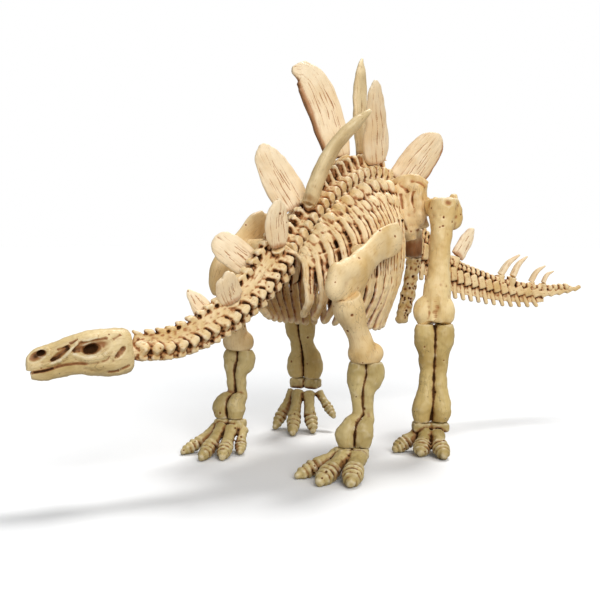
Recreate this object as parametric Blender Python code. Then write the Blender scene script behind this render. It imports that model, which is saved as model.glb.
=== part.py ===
"""Toy stegosaur skeleton in cast ivory plastic: pieces that plug together and stand on four feet.

Shapes are drawn in millimetres in the animal's own frame: it faces -Y, its left side is +X, Z is up
and the floor is z = 0. finish_node moves them to the part's origin and turns them into metres.
"""

import math

import bmesh
import bpy
import numpy as np
from mathutils import Matrix, Vector

MM = 0.001
ORIGIN_SHIFT = Vector((-2.3, -15.3, 0.0))  # puts the middle of the outline box on the origin
GAP = 0.3  # clear space between two pieces that meet
UP = Vector((0.0, 0.0, 1.0))
LEFT = Vector((1.0, 0.0, 0.0))

# Casting detail: grid of the fused shape, and the faces that each kind of piece may keep.
GRID = 0.5
FACES = {
    "head": 380, "neck": 700, "back": 730, "ribs": 680, "pelvis": 310, "tail": 840,
    "scapula": 140, "humerus": 140, "forearm": 150, "femur": 180, "shank": 170, "foot": 230,
}

# Spine, read from the head backwards.
NECK_ROUTE = (
    (-9.4, -62.5, 35.8), (-7.0, -55.9, 35.8), (-5.7, -51.9, 36.6), (-4.1, -46.3, 38.6),
    (-2.7, -40.3, 41.4), (-1.7, -35.5, 44.6), (-0.9, -29.6, 48.7), (-0.4, -24.8, 53.1),
    (0.0, -18.0, 59.2),
)
BACK_ROUTE = (
    (0.0, -17.6, 59.6), (0.0, -12.7, 63.6), (0.0, -5.3, 70.6), (0.0, 3.8, 76.7), (0.0, 13.4, 81.2),
    (0.0, 22.4, 83.2), (0.0, 33.5, 82.6),
)
TAIL_ROUTE = (
    (0.2, 49.0, 62.5), (1.0, 56.0, 58.0), (2.5, 65.0, 53.0), (4.8, 72.9, 49.6), (8.8, 82.7, 47.2),
    (12.8, 90.5, 45.2), (17.3, 97.8, 44.0), (22.1, 104.7, 43.1), (27.1, 111.1, 43.8),
    (31.5, 116.3, 44.8),
)
NECK_BONES = 15
BACK_BONES = 19
TAIL_BONES = 24
CHEVRONS = 19
BACK_HALF_WIDTH = 4.6
HIP_JOIN = Vector((0.0, 32.0, 80.0))  # where the back meets the pelvis
HIP_JOIN_NORMAL = Vector((0.0, 1.0, -0.15)).normalized()
HIP_FACE = 17.2  # how far out the hip socket reaches
PUBIS_TOP = 56.8
BLADE_FACE = 19.9  # how far out the pad reaches that carries the shoulder blade

# Head: stations from its back to the tip of the beak, as (distance, top, bottom, half width).
HEAD_BACK = Vector((-10.1, -64.1, 0.0))
HEAD_YAW = math.radians(30)
HEAD_STATIONS = (
    (0.0, 39.4, 30.2, 3.0), (1.2, 40.6, 29.3, 3.7), (4.5, 40.9, 29.2, 4.2), (7.5, 40.8, 29.1, 4.3),
    (11.0, 40.4, 29.5, 3.9), (14.0, 39.6, 30.0, 3.3), (17.5, 38.6, 29.9, 2.8), (21.0, 37.4, 29.5, 2.5),
    (23.3, 36.9, 29.2, 2.2), (24.6, 35.9, 30.2, 1.8), (25.4, 34.8, 32.4, 1.0),
)
ORBIT = (9.9, 36.4, 3.3, 1.6)  # distance, height, half length, half height
NOSTRIL = (23.0, 35.5, 1.7, 1.0)
SOCKET_OUT = 4.6  # how far from the skull's middle each hollow is centred
NOSTRIL_OUT = 2.6
MOUTH_ROUTE = ((26.5, 31.2), (24.2, 31.6), (20.4, 32.4), (15.9, 32.95), (11.6, 32.7))
MOUTH_GAP = 0.6
LOWER_JAW_TIP = 24.2

# Ribs: stations along the cage from front to back.
RIBS = 11
RIB_TOP = ((-15.2, 58.4), (-12.0, 61.8), (-7.6, 66.5), (-1.5, 71.3), (4.9, 75.2), (13.0, 79.0),
           (20.0, 80.6), (27.0, 80.4))
RIB_SIDE = ((8.0, -18.5, 51.0), (12.5, -11.0, 57.0), (15.5, -3.0, 61.0), (17.0, 6.0, 63.5),
            (17.2, 15.0, 65.0), (15.4, 23.6, 65.4))
RIB_LOW = ((9.5, -21.0, 45.5), (13.5, -13.0, 46.5), (16.0, -4.0, 48.0), (17.4, 5.0, 49.0),
           (17.4, 13.5, 50.5), (15.4, 21.8, 52.5))
RIB_END = ((6.0, -18.5, 42.5), (9.5, -12.0, 40.5), (12.4, -3.5, 39.0), (13.6, 3.5, 38.2),
           (13.2, 10.5, 37.2), (11.1, 17.0, 37.2))

PLATE_FOOT = 0.5  # width at the foot, as a share of the widest
PLATE_WIDEST = 0.45  # where it is widest, as a share of the height
# Plates: foot, tip, half width, half thickness, turn of the face from sideways to forward, bow.
PLATES = {
    "plate_1": ((-5.0, -43.5, 44.2), (-8.0, -46.8, 50.0), 2.5, 0.9, 25, 0.0),
    "plate_2": ((1.0, -37.6, 46.6), (2.0, -42.6, 53.4), 3.6, 1.1, 30, 0.0),
    "plate_3": ((-3.4, -26.8, 55.4), (-9.4, -33.4, 62.2), 3.4, 1.2, 30, 0.0),
    "plate_4": ((3.2, -23.5, 60.6), (5.0, -26.4, 73.4), 3.7, 1.1, 15, 0.0),
    "plate_5": ((-3.0, -8.9, 71.5), (-9.4, -16.0, 89.6), 5.3, 1.4, 30, 0.0),
    "plate_6": ((3.1, -9.3, 74.0), (14.0, 5.2, 100.1), 5.2, 1.8, -36, -2.8),
    "plate_7": ((-3.6, 13.2, 87.6), (-12.0, 6.4, 115.4), 6.3, 1.6, 36, 0.0),
    "plate_8": ((-2.2, 23.4, 88.6), (-9.0, 33.3, 122.0), 5.4, 1.6, -28, -0.8),
    "plate_9": ((3.0, 24.2, 86.6), (8.6, 15.4, 110.2), 4.7, 1.4, 18, 0.0),
    "plate_10": ((4.4, 36.9, 81.8), (12.4, 45.4, 96.6), 4.6, 1.4, 26, 0.0),
    "plate_11": ((4.9, 73.6, 58.2), (7.0, 79.2, 66.4), 2.8, 1.1, 20, 0.0),
}
SPIKES = {
    "spike_1": ((12.4, 91.4, 50.0), (17.2, 97.6, 57.4), 1.15),
    "spike_2": ((15.9, 94.2, 49.4), (19.0, 100.1, 56.8), 1.15),
    "spike_3": ((19.3, 102.4, 47.2), (23.4, 106.1, 53.3), 1.0),
    "spike_4": ((23.0, 105.0, 46.9), (25.6, 108.8, 51.3), 0.8),
}

# Shoulder blades and upper arms; each pad is the middle of the round pad under a blade.
PAD_LEFT = (14.0, -5.0, 59.0)
PAD_RIGHT = (12.5, -9.0, 60.5)
PAD_RADIUS = 2.6
BLADE_LEFT = (
    (21.6, 9.6, 64.4), (22.0, -1.2, 61.2), (22.6, -12.0, 55.6), (23.0, -19.4, 51.6), (22.8, -22.8, 48.0),
)
BLADE_RIGHT = (
    (21.9, 0.4, 68.6), (22.2, -5.8, 64.9), (22.5, -12.8, 58.9), (22.6, -18.4, 53.0), (22.4, -19.8, 46.6),
)
BLADE_HALVES = (
    (1.0, 2.4), (1.4, 4.2), (1.5, 4.5), (1.7, 4.4), (2.0, 4.8), (2.4, 5.4), (2.8, 5.8), (2.8, 5.8),
    (2.4, 5.0),
)
SHOULDER = Vector((0.0, -20.0, 47.6))  # where a shoulder blade meets its upper arm
SHOULDER_NORMAL = Vector((0.0, 0.36, -0.93)).normalized()
UPPER_ARM_LEFT = ((23.0, -19.2, 48.6), (23.3, -16.6, 42.0), (23.8, -12.6, 34.0), (24.0, -11.4, 29.0))
UPPER_ARM_RIGHT = ((22.6, -16.0, 50.0), (22.4, -14.2, 42.0), (22.2, -13.2, 34.0), (22.2, -12.2, 29.0))

# Legs: heights of the joints, then lower legs as (centre, half distance apart, radius).
ELBOW = 29.6
KNEE = 37.6
THIGH_TOP = 75.3
THIGH = ((24.0, 30.4, 75.4), (24.4, 27.4, 62.8), (24.8, 25.2, 50.7), (25.2, 23.0, 38.0))
SHANK_LEFT = (
    ((25.3, 22.8, 37.8), 2.8, 3.3), ((25.3, 22.8, 34.6), 2.9, 3.5), ((25.5, 22.2, 28.0), 2.2, 2.7),
    ((25.6, 21.8, 21.0), 2.0, 2.4), ((25.8, 21.0, 15.0), 2.5, 2.9), ((25.9, 20.4, 11.4), 2.9, 3.3),
    ((25.9, 20.2, 8.2), 2.6, 2.7),
)
SHANK_RIGHT = (
    ((26.2, 22.4, 37.8), 2.4, 2.9), ((26.2, 22.6, 34.6), 2.4, 3.0), ((26.1, 23.4, 29.0), 2.2, 2.7),
    ((25.8, 24.6, 24.0), 2.6, 3.0), ((26.0, 24.8, 20.4), 3.0, 3.4), ((26.0, 24.8, 18.0), 2.9, 3.2),
    ((26.0, 24.8, 16.2), 2.6, 2.7),
)
# Toes: root, knuckle, tip, radius.
FRONT_LEFT_TOES = (
    ((20.5, -18.5, 5.2), (18.2, -24.5, 3.1), (15.9, -31.2, 0.5), 2.2),
    ((23.2, -19.5, 5.2), (23.8, -26.0, 3.0), (25.0, -33.4, 1.0), 2.5),
    ((26.2, -18.0, 4.8), (29.0, -23.5, 3.1), (32.2, -29.6, 1.2), 2.7),
)
FRONT_RIGHT_TOES = (
    ((-25.2, -18.2, 6.6), (-26.2, -25.0, 3.0), (-27.0, -31.5, 0.2), 1.9),
    ((-22.6, -19.0, 6.8), (-20.4, -26.0, 3.1), (-17.0, -33.6, 0.4), 2.1),
    ((-19.6, -18.2, 6.6), (-16.6, -23.6, 3.0), (-13.0, -29.2, 0.4), 2.1),
    ((-17.4, -15.5, 6.4), (-15.2, -18.8, 3.2), (-13.0, -21.6, 0.6), 1.7),
)
HIND_LEFT_TOES = (
    ((23.2, 18.6, 5.4), (21.6, 14.0, 3.2), (19.8, 9.6, 0.5), 2.3),
    ((25.8, 17.6, 5.0), (27.4, 13.2, 3.1), (29.0, 9.4, 1.0), 2.5),
    ((28.8, 19.0, 5.0), (32.0, 15.0, 3.2), (36.1, 10.9, 0.7), 2.4),
)
HIND_RIGHT_TOES = (
    ((-29.2, 22.5, 11.5), (-29.4, 17.5, 5.5), (-28.0, 11.4, 0.1), 2.0),
    ((-26.2, 21.5, 11.5), (-22.6, 15.0, 5.2), (-17.6, 7.8, 0.1), 2.2),
    ((-22.8, 22.8, 11.5), (-19.0, 18.6, 5.4), (-14.4, 14.8, 0.1), 2.1),
    ((-21.0, 26.0, 11.5), (-17.0, 25.0, 8.0), (-12.6, 23.6, 4.6), 1.6),
)
# Feet: middle of the ankle, its height, the toes, half width and depth of the band of ankle blocks.
FEET = {
    "forefoot_left": ((23.6, -17.0), 7.3, FRONT_LEFT_TOES, 4.6, 3.4),
    "forefoot_right": ((-21.6, -16.6), 9.4, FRONT_RIGHT_TOES, 4.8, 3.4),
    "hindfoot_left": ((25.9, 20.0), 8.6, HIND_LEFT_TOES, 5.4, 3.0),
    "hindfoot_right": ((-25.6, 24.6), 16.4, HIND_RIGHT_TOES, 5.2, 3.6),
}

IVORY = (0.80, 0.66, 0.44)
PALE = (0.84, 0.72, 0.53)
TAWNY = (0.72, 0.57, 0.33)


# Shape helpers

def smooth_route(points, count):
    """Evenly spaced points on the Catmull-Rom curve through the given ones."""
    given = np.array(points, float)
    ends = np.vstack([2 * given[0] - given[1], given, 2 * given[-1] - given[-2]])
    dense = []
    for i in range(1, len(ends) - 2):
        a, b, c, d = ends[i - 1 : i + 3]
        for t in np.linspace(0, 1, 12, endpoint=False):
            dense.append(0.5 * (2 * b + (c - a) * t + (2 * a - 5 * b + 4 * c - d) * t**2
                                + (3 * b - a - 3 * c + d) * t**3))
    dense = np.array(dense + [given[-1]])
    length = np.concatenate([[0], np.cumsum(np.linalg.norm(np.diff(dense, axis=0), axis=1))])
    wanted = np.linspace(0, length[-1], count)
    return [Vector([np.interp(s, length, dense[:, k]) for k in range(dense.shape[1])]) for s in wanted]


def turn_to(along, across):
    """Rotation that takes Z to along, and X as near to across as it can."""
    z = along.normalized()
    x = (across - z * across.dot(z)).normalized()
    return Matrix((x, z.cross(x), z)).transposed().to_4x4()


def mirrored(point, side):
    return Vector((point[0] * side, point[1], point[2]))


def ball(bm, centre, half, turn=Matrix.Identity(4), detail=2):
    """An ellipsoid with the given half sizes."""
    place = Matrix.Translation(centre) @ turn @ Matrix.Diagonal((*half, 1.0))
    bmesh.ops.create_icosphere(bm, subdivisions=detail, radius=1, matrix=place)


def block(bm, centre, half, turn=Matrix.Identity(4)):
    """A box with the given half sizes."""
    place = Matrix.Translation(centre) @ turn @ Matrix.Diagonal((*half, 1.0))
    bmesh.ops.create_cube(bm, size=2, matrix=place)


def sweep(bm, route, halves, across, sides=10):
    """A closed skin over one oval ring at each point of the route, half = (across, the other way)."""
    rings = []
    for i, (point, half) in enumerate(zip(route, halves)):
        along = route[min(i + 1, len(route) - 1)] - route[max(i - 1, 0)]
        place = Matrix.Translation(point) @ turn_to(along, across) @ Matrix.Diagonal((*half, 1.0, 1.0))
        made = bmesh.ops.create_circle(bm, segments=sides, radius=1, matrix=place)["verts"]
        rings.append(list({edge for vert in made for edge in vert.link_edges}))
    for near, far in zip(rings, rings[1:]):
        bmesh.ops.bridge_loops(bm, edges=near + far)
    for end in (rings[0], rings[-1]):
        bmesh.ops.holes_fill(bm, edges=end, sides=0)


def bone(bm, route, radii, across=LEFT, count=9, sides=10):
    """A sweep along a smooth route whose radius runs smoothly through radii."""
    path = smooth_route(route, count)
    radius = np.interp(np.linspace(0, 1, count), np.linspace(0, 1, len(radii)), radii)
    sweep(bm, path, [(r, r) for r in radius], across, sides)


def trim(bm, point, normal):
    """Cuts off what lies beyond the plane, on the side that the normal points to, and closes the cut."""
    everything = bm.verts[:] + bm.edges[:] + bm.faces[:]
    cut = bmesh.ops.bisect_plane(bm, geom=everything, plane_co=point, plane_no=normal, clear_outer=True)
    edges = [piece for piece in cut["geom_cut"] if isinstance(piece, bmesh.types.BMEdge)]
    bmesh.ops.holes_fill(bm, edges=edges, sides=0)


def evaluated_mesh(obj):
    bpy.context.view_layer.update()
    return bpy.data.meshes.new_from_object(obj.evaluated_get(bpy.context.evaluated_depsgraph_get()))


def fuse(bm, faces, grid=GRID):
    """Turns overlapping shapes into one closed skin with about the given number of faces."""
    mesh = bpy.data.meshes.new("fusing")
    bm.to_mesh(mesh)
    obj = bpy.data.objects.new("fusing", mesh)
    bpy.context.scene.collection.objects.link(obj)
    remesh = obj.modifiers.new("Fuse", "REMESH")
    remesh.mode = "VOXEL"
    remesh.voxel_size = grid
    triangles = 2 * len(evaluated_mesh(obj).polygons)
    smooth = obj.modifiers.new("Soften", "SMOOTH")
    smooth.factor = 0.5
    smooth.iterations = 1
    decimate = obj.modifiers.new("Thin", "DECIMATE")
    decimate.ratio = min(1.0, faces / triangles)
    fused = evaluated_mesh(obj)
    bpy.data.objects.remove(obj)
    bm.clear()
    bm.from_mesh(fused)


def carve(bm, cutter):
    """Takes the cutter's shapes out of bm, each with an exact Boolean."""
    objects = []
    for name, shape in (("carved", bm), ("cutter", cutter)):
        mesh = bpy.data.meshes.new(name)
        bmesh.ops.recalc_face_normals(shape, faces=shape.faces)
        shape.to_mesh(mesh)
        obj = bpy.data.objects.new(name, mesh)
        bpy.context.scene.collection.objects.link(obj)
        objects.append(obj)
    cut = objects[0].modifiers.new("Carve", "BOOLEAN")
    cut.operation = "DIFFERENCE"
    cut.solver = "EXACT"
    cut.object = objects[1]
    cut.use_self = True
    carved = evaluated_mesh(objects[0])
    for obj in objects:
        bpy.data.objects.remove(obj)
    bm.clear()
    bm.from_mesh(carved)


def material(name, colour):
    made = bpy.data.materials.get(name) or bpy.data.materials.new(name)
    made.use_nodes = True
    shader = made.node_tree.nodes["Principled BSDF"]
    shader.inputs["Base Color"].default_value = (*colour, 1.0)
    shader.inputs["Roughness"].default_value = 0.5
    shader.inputs["Metallic"].default_value = 0.0
    return made


def finish_node(bm, name, colour):
    """Makes the node's object from the shape, in metres about the part's origin."""
    place = Matrix.Scale(MM, 4) @ Matrix.Translation(ORIGIN_SHIFT)
    bmesh.ops.transform(bm, matrix=place, verts=bm.verts)
    bmesh.ops.triangulate(bm, faces=bm.faces)
    bmesh.ops.recalc_face_normals(bm, faces=bm.faces)
    mesh = bpy.data.meshes.new(name)
    bm.to_mesh(mesh)
    bm.free()
    mesh.materials.append(material(name, colour))
    obj = bpy.data.objects.new(name, mesh)
    bpy.context.scene.collection.objects.link(obj)


# Plates and spikes

def seat_cutter(bm, foot, along, radius):
    """A short drum just under a plate or spike, so that what carries it ends in a flat seat."""
    place = Matrix.Translation(foot + along * (2.0 - GAP)) @ turn_to(along, LEFT)
    bmesh.ops.create_cone(bm, cap_ends=True, segments=12, radius1=radius, radius2=radius, depth=4.0,
                          matrix=place)


def seats_for(names):
    """For the plates and spikes that a spine piece carries: foot, axis, boss radius, clear radius."""
    seats = []
    for name in names:
        if name in PLATES:
            foot, tip, width = PLATES[name][:3]
            radius = 0.8 + 0.2 * width
            clear = max(radius, width * PLATE_FOOT) + 1.1
        else:
            foot, tip, radius = SPIKES[name]
            radius += 0.3
            clear = radius + 0.5
        along = (Vector(tip) - Vector(foot)).normalized()
        seats.append((Vector(foot), along, radius, clear))
    return seats


def add_bosses(bm, seats, route):
    """A mound from the nearest point of the spine up to each seat."""
    dense = smooth_route(route, 120)
    for foot, along, radius, clear in seats:
        root = min(dense, key=lambda point: (point - foot).length)
        top = foot + along * 0.6
        bone(bm, [root, (root + top) / 2, top], [radius * 1.15, radius, radius], count=4, sides=8)


def flatten_seats(bm, seats):
    for foot, along, radius, clear in seats:
        cutter = bmesh.new()
        seat_cutter(cutter, foot, along, clear)
        carve(bm, cutter)
        cutter.free()


def plate(name):
    """A leaf of bone: widest below the middle, thin at its rim, cut flat at the foot."""
    foot, tip, width, thick, turn, bow = PLATES[name]
    foot = Vector(foot)
    tip = Vector(tip)
    along = (tip - foot).normalized()
    angle = math.radians(turn)
    face = Vector((math.cos(angle), -math.sin(angle), 0.0))
    across = along.cross(face).normalized()
    face = across.cross(along).normalized()
    route = []
    halves = []
    for t in (-0.05, 0.2, 0.46, 0.7, 0.88, 1.0):
        route.append(foot.lerp(tip, t) + face * bow * math.sin(math.pi * t))
        rise = min(1.0, max(0.0, t) / PLATE_WIDEST)
        spread = PLATE_FOOT + (1 - PLATE_FOOT) * math.sin(0.5 * math.pi * rise)
        blunt = math.sqrt(max(0.04, 1 - (max(0.0, t - PLATE_WIDEST) / (1 - PLATE_WIDEST)) ** 2.1))
        halves.append((width * spread * blunt, thick * (1.0 - 0.35 * t) * max(blunt, 0.45)))
    bm = bmesh.new()
    sweep(bm, route, halves, across, sides=8)
    trim(bm, foot, -along)
    finish_node(bm, name, PALE)


def spike(name):
    """A curved cone that sweeps back towards the tip of the tail."""
    foot, tip, radius = SPIKES[name]
    foot = Vector(foot)
    tip = Vector(tip)
    middle = foot.lerp(tip, 0.5) + Vector((-0.35, -0.5, 0.75))
    path = smooth_route([foot.lerp(middle, -0.2), middle, tip], 5)
    radii = [radius, radius, radius * 0.85, radius * 0.6, 0.25]
    bm = bmesh.new()
    sweep(bm, path, [(r, r) for r in radii], LEFT, sides=6)
    trim(bm, foot, -(tip - foot).normalized())
    finish_node(bm, name, PALE)


# Head and spine

def head():
    """Narrow skull with a beak, open mouth line, eye sockets and nostrils."""
    forward = Vector((-math.sin(HEAD_YAW), -math.cos(HEAD_YAW), 0.0))
    side = Vector((math.cos(HEAD_YAW), -math.sin(HEAD_YAW), 0.0))

    def at(distance, height, offset=0.0):
        return HEAD_BACK + forward * distance + side * offset + UP * height

    bm = bmesh.new()
    route = [at(d, (top + low) / 2) for d, top, low, wide in HEAD_STATIONS]
    halves = [(wide, (top - low) / 2) for d, top, low, wide in HEAD_STATIONS]
    sweep(bm, route, halves, side, sides=20)
    cheek = turn_to(forward, side)
    distance, height = ORBIT[:2]
    for way in (1, -1):
        ball(bm, at(distance + 0.6, height + 2.2, 2.9 * way), (1.3, 0.9, 3.6), cheek)
        ball(bm, at(distance - 0.4, height - 2.6, 2.9 * way), (1.3, 1.2, 5.0), cheek)
        ball(bm, at(3.2, 31.4, 2.5 * way), (1.5, 2.0, 2.6), cheek)
    fuse(bm, FACES["head"], GRID * 0.8)
    cutter = bmesh.new()
    for distance, height, half_long, half_high in (ORBIT, NOSTRIL):
        beside_it = SOCKET_OUT if half_long == ORBIT[2] else NOSTRIL_OUT
        for way in (1, -1):
            ball(cutter, at(distance, height, beside_it * way), (1.9, half_high, half_long), cheek, detail=1)
    carve(bm, cutter)
    cutter.free()
    cutter = bmesh.new()
    mouth = [at(d, z) for d, z in MOUTH_ROUTE]
    thick = [MOUTH_GAP * 0.75, MOUTH_GAP * 0.6, MOUTH_GAP * 0.5, MOUTH_GAP * 0.5, MOUTH_GAP * 0.4]
    sweep(cutter, mouth, [(8.0, half) for half in thick], side, sides=4)
    carve(bm, cutter)
    cutter.free()
    cutter = bmesh.new()
    block(cutter, at(LOWER_JAW_TIP + 2.0, 29.6), (4.0, 2.0, 2.0), cheek)
    carve(bm, cutter)
    cutter.free()
    trim(bm, at(0.3, 35.0), -forward)
    finish_node(bm, "head", IVORY)


def vertebra(bm, centre, along, size, lean, rung_drop):
    """One block: a drum, a spine on top that leans back, and a rung across with a knob at each end."""
    turn = turn_to(along, LEFT)
    up = turn.to_3x3() @ Vector((0, 1, 0))
    if up.z < 0:
        up = -up
    across = turn.to_3x3() @ Vector((1, 0, 0))
    half_wide, half_high, half_long = size
    ball(bm, centre - up * half_high * 0.35, (half_wide * 0.62, half_high * 0.62, half_long * 1.15), turn)
    crest = centre + up * half_high * 0.9 + along * lean
    bone(bm, [centre, crest], [half_long * 0.85, half_long * 0.85], count=3, sides=6)
    ball(bm, crest, (half_long * 1.05, half_long * 0.9, half_long * 0.95), turn, detail=1)
    for way in (1, -1):
        shoulder = centre + up * half_high * 0.3 + across * half_wide * 0.15 * way
        tip = centre + across * half_wide * 0.86 * way - up * rung_drop + along * lean * 0.5
        bone(bm, [shoulder, tip], [half_long * 0.82, half_long * 0.74], count=3, sides=6)
        ball(bm, tip, (half_long * 0.95, half_long * 0.9, half_long * 0.9), turn, detail=1)


def spine_run(bm, route, bones, size_at, lean, rung_drop):
    """Vertebrae evenly along a route, on a continuous core; size_at gives (half wide, half high)."""
    path = smooth_route(route, bones)
    pitch = (path[1] - path[0]).length
    cores = []
    for i, centre in enumerate(path):
        along = (path[min(i + 1, bones - 1)] - path[max(i - 1, 0)]).normalized()
        wide, high = size_at(i / (bones - 1))
        cores.append((wide * 0.5, high * 0.42))
        vertebra(bm, centre, along, (wide, high, pitch * 0.37), lean, rung_drop * high)
    sweep(bm, path, cores, LEFT, sides=8)


def head_gap():
    """The plane behind the skull, as (point, direction to the head)."""
    forward = Vector((-math.sin(HEAD_YAW), -math.cos(HEAD_YAW), 0.0))
    return HEAD_BACK + UP * 35.0, forward


def neck():
    bm = bmesh.new()
    spine_run(bm, NECK_ROUTE, NECK_BONES, lambda t: (2.6 + 2.0 * t, 3.9 + 3.6 * t), 0.5, 0.2)
    point, forward = head_gap()
    peg_end = Vector((-9.4, -62.5, 35.2))
    bone(bm, [peg_end, point + forward * 0.8], [1.9, 1.9], count=3, sides=10)
    seats = seats_for(("plate_1", "plate_2", "plate_3", "plate_4"))
    add_bosses(bm, seats, NECK_ROUTE)
    fuse(bm, FACES["neck"])
    trim(bm, point, forward)
    trim(bm, Vector(BACK_ROUTE[0]) - shoulder_normal() * GAP, shoulder_normal())
    flatten_seats(bm, seats)
    finish_node(bm, "neck", IVORY)


def shoulder_normal():
    """Direction of the spine where the neck meets the back."""
    return (Vector(BACK_ROUTE[1]) - Vector(BACK_ROUTE[0])).normalized()


def back():
    bm = bmesh.new()
    spine_run(bm, BACK_ROUTE, BACK_BONES, lambda t: (BACK_HALF_WIDTH, 6.6 - 1.0 * t), 0.8, 0.02)
    seats = seats_for(("plate_5", "plate_6", "plate_7", "plate_8", "plate_9"))
    add_bosses(bm, seats, BACK_ROUTE)
    fuse(bm, FACES["back"])
    trim(bm, Vector(BACK_ROUTE[0]), -shoulder_normal())
    trim(bm, HIP_JOIN, HIP_JOIN_NORMAL)
    trim(bm, LEFT * BACK_HALF_WIDTH, LEFT)
    trim(bm, -LEFT * BACK_HALF_WIDTH, -LEFT)
    flatten_seats(bm, seats)
    finish_node(bm, "back", IVORY)


def tail():
    """Slanted blocks with a row of knobs above, and thin chevrons below that shrink to the tip."""
    bm = bmesh.new()
    path = smooth_route(TAIL_ROUTE, TAIL_BONES)
    knobs = smooth_route(TAIL_ROUTE, TAIL_BONES * 3 // 2)
    cores = []
    for i, centre in enumerate(path):
        t = i / (TAIL_BONES - 1)
        along = (path[min(i + 1, TAIL_BONES - 1)] - path[max(i - 1, 0)]).normalized()
        turn = turn_to(along, LEFT)
        up = turn.to_3x3() @ Vector((0, 1, 0))
        up = up if up.z > 0 else -up
        high = 2.5 * (1 - t) ** 0.55 + 0.75
        pitch = (path[1] - path[0]).length
        slant = Matrix.Rotation(math.radians(24), 4, "X")
        block(bm, centre, (high * 0.8, high, pitch * 0.33), turn @ slant)
        cores.append((high * 0.62, high * 0.8))
        if 0 < i < CHEVRONS:
            top = centre - up * high * 0.7 - along * 0.6
            deep = 6.6 * (1 - t) ** 0.38
            foot = top - up * deep + along * (1.1 + 0.6 * t)
            bone(bm, [top, (top + foot) / 2 - along * 0.25, foot], [0.85, 0.75, 0.6], count=4, sides=6)
    for i, centre in enumerate(knobs):
        t = i / (len(knobs) - 1)
        high = 2.5 * (1 - t) ** 0.55 + 0.75
        tall = 2.6 + 2.4 * max(0.0, 1 - 2.2 * t) - 1.8 * t
        if t < 0.9:
            foot = centre + UP * high * 0.5
            bone(bm, [foot, foot + UP * (tall + high * 0.4)], [0.85, 0.8], count=3, sides=6)
    sweep(bm, path, cores, LEFT, sides=8)
    seats = seats_for(("plate_11", "spike_1", "spike_2", "spike_3", "spike_4"))
    add_bosses(bm, seats, TAIL_ROUTE)
    fuse(bm, FACES["tail"])
    start = Vector(TAIL_ROUTE[0])
    trim(bm, start + tail_normal() * GAP, -tail_normal())
    flatten_seats(bm, seats)
    finish_node(bm, "tail", IVORY)


def tail_normal():
    """Direction of the tail where it leaves the pelvis."""
    return (Vector(TAIL_ROUTE[1]) - Vector(TAIL_ROUTE[0])).normalized()


# Trunk

def mount_pad(bm, side, pad, start, end):
    """A round pad that runs outwards at the given place, where a shoulder blade is fixed on the ribs."""
    route = [mirrored((out, pad[1], pad[2]), side) for out in (start, end)]
    bone(bm, route, [PAD_RADIUS, PAD_RADIUS], UP, count=3)


def ribs(side, name, pad):
    """Half of the cage: ribs with round heads by the spine, joined above and loose fingers below."""
    tops = smooth_route([(BACK_HALF_WIDTH + 0.9, y, z) for y, z in RIB_TOP], RIBS)
    sides = smooth_route(RIB_SIDE, RIBS)
    lows = smooth_route(RIB_LOW, RIBS)
    ends = smooth_route(RIB_END, RIBS)
    bm = bmesh.new()
    for top, mid, low, end in zip(tops, sides, lows, ends):
        knee = top.lerp(mid, 0.45) + Vector((1.6, -0.4, 2.4))
        route = [mirrored(p, side) for p in (top, knee, mid, low, end)]
        out = (route[2] - Vector((0, route[2].y, route[2].z))).normalized()
        path = smooth_route(route, 13)
        halves = [(1.2, 1.75 - 0.045 * i) for i in range(13)]
        sweep(bm, path, halves, out, sides=8)
        ball(bm, route[0] + Vector((0.7 * side, 0, 0.2)), (1.6, 2.0, 1.9), detail=1)
    joined = []
    for top, mid in zip(tops, sides):
        joined.append(mirrored(top.lerp(mid, 0.5) + Vector((0.9, -0.2, 1.2)), side))
    sweep(bm, joined, [(7.4, 0.6)] * RIBS, Vector((0.6 * side, 0, -0.8)), sides=8)
    mount_pad(bm, side, pad, pad[0], BLADE_FACE + 1.0)
    rail = [mirrored(top + Vector((0.6, 0, -1.4)), side) for top in tops]
    sweep(bm, rail, [(1.0, 2.0)] * RIBS, LEFT, sides=8)
    fuse(bm, FACES["ribs"])
    trim(bm, LEFT * side * (BACK_HALF_WIDTH + GAP), -LEFT * side)
    trim(bm, LEFT * side * BLADE_FACE, LEFT * side)
    finish_node(bm, name, IVORY)


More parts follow.
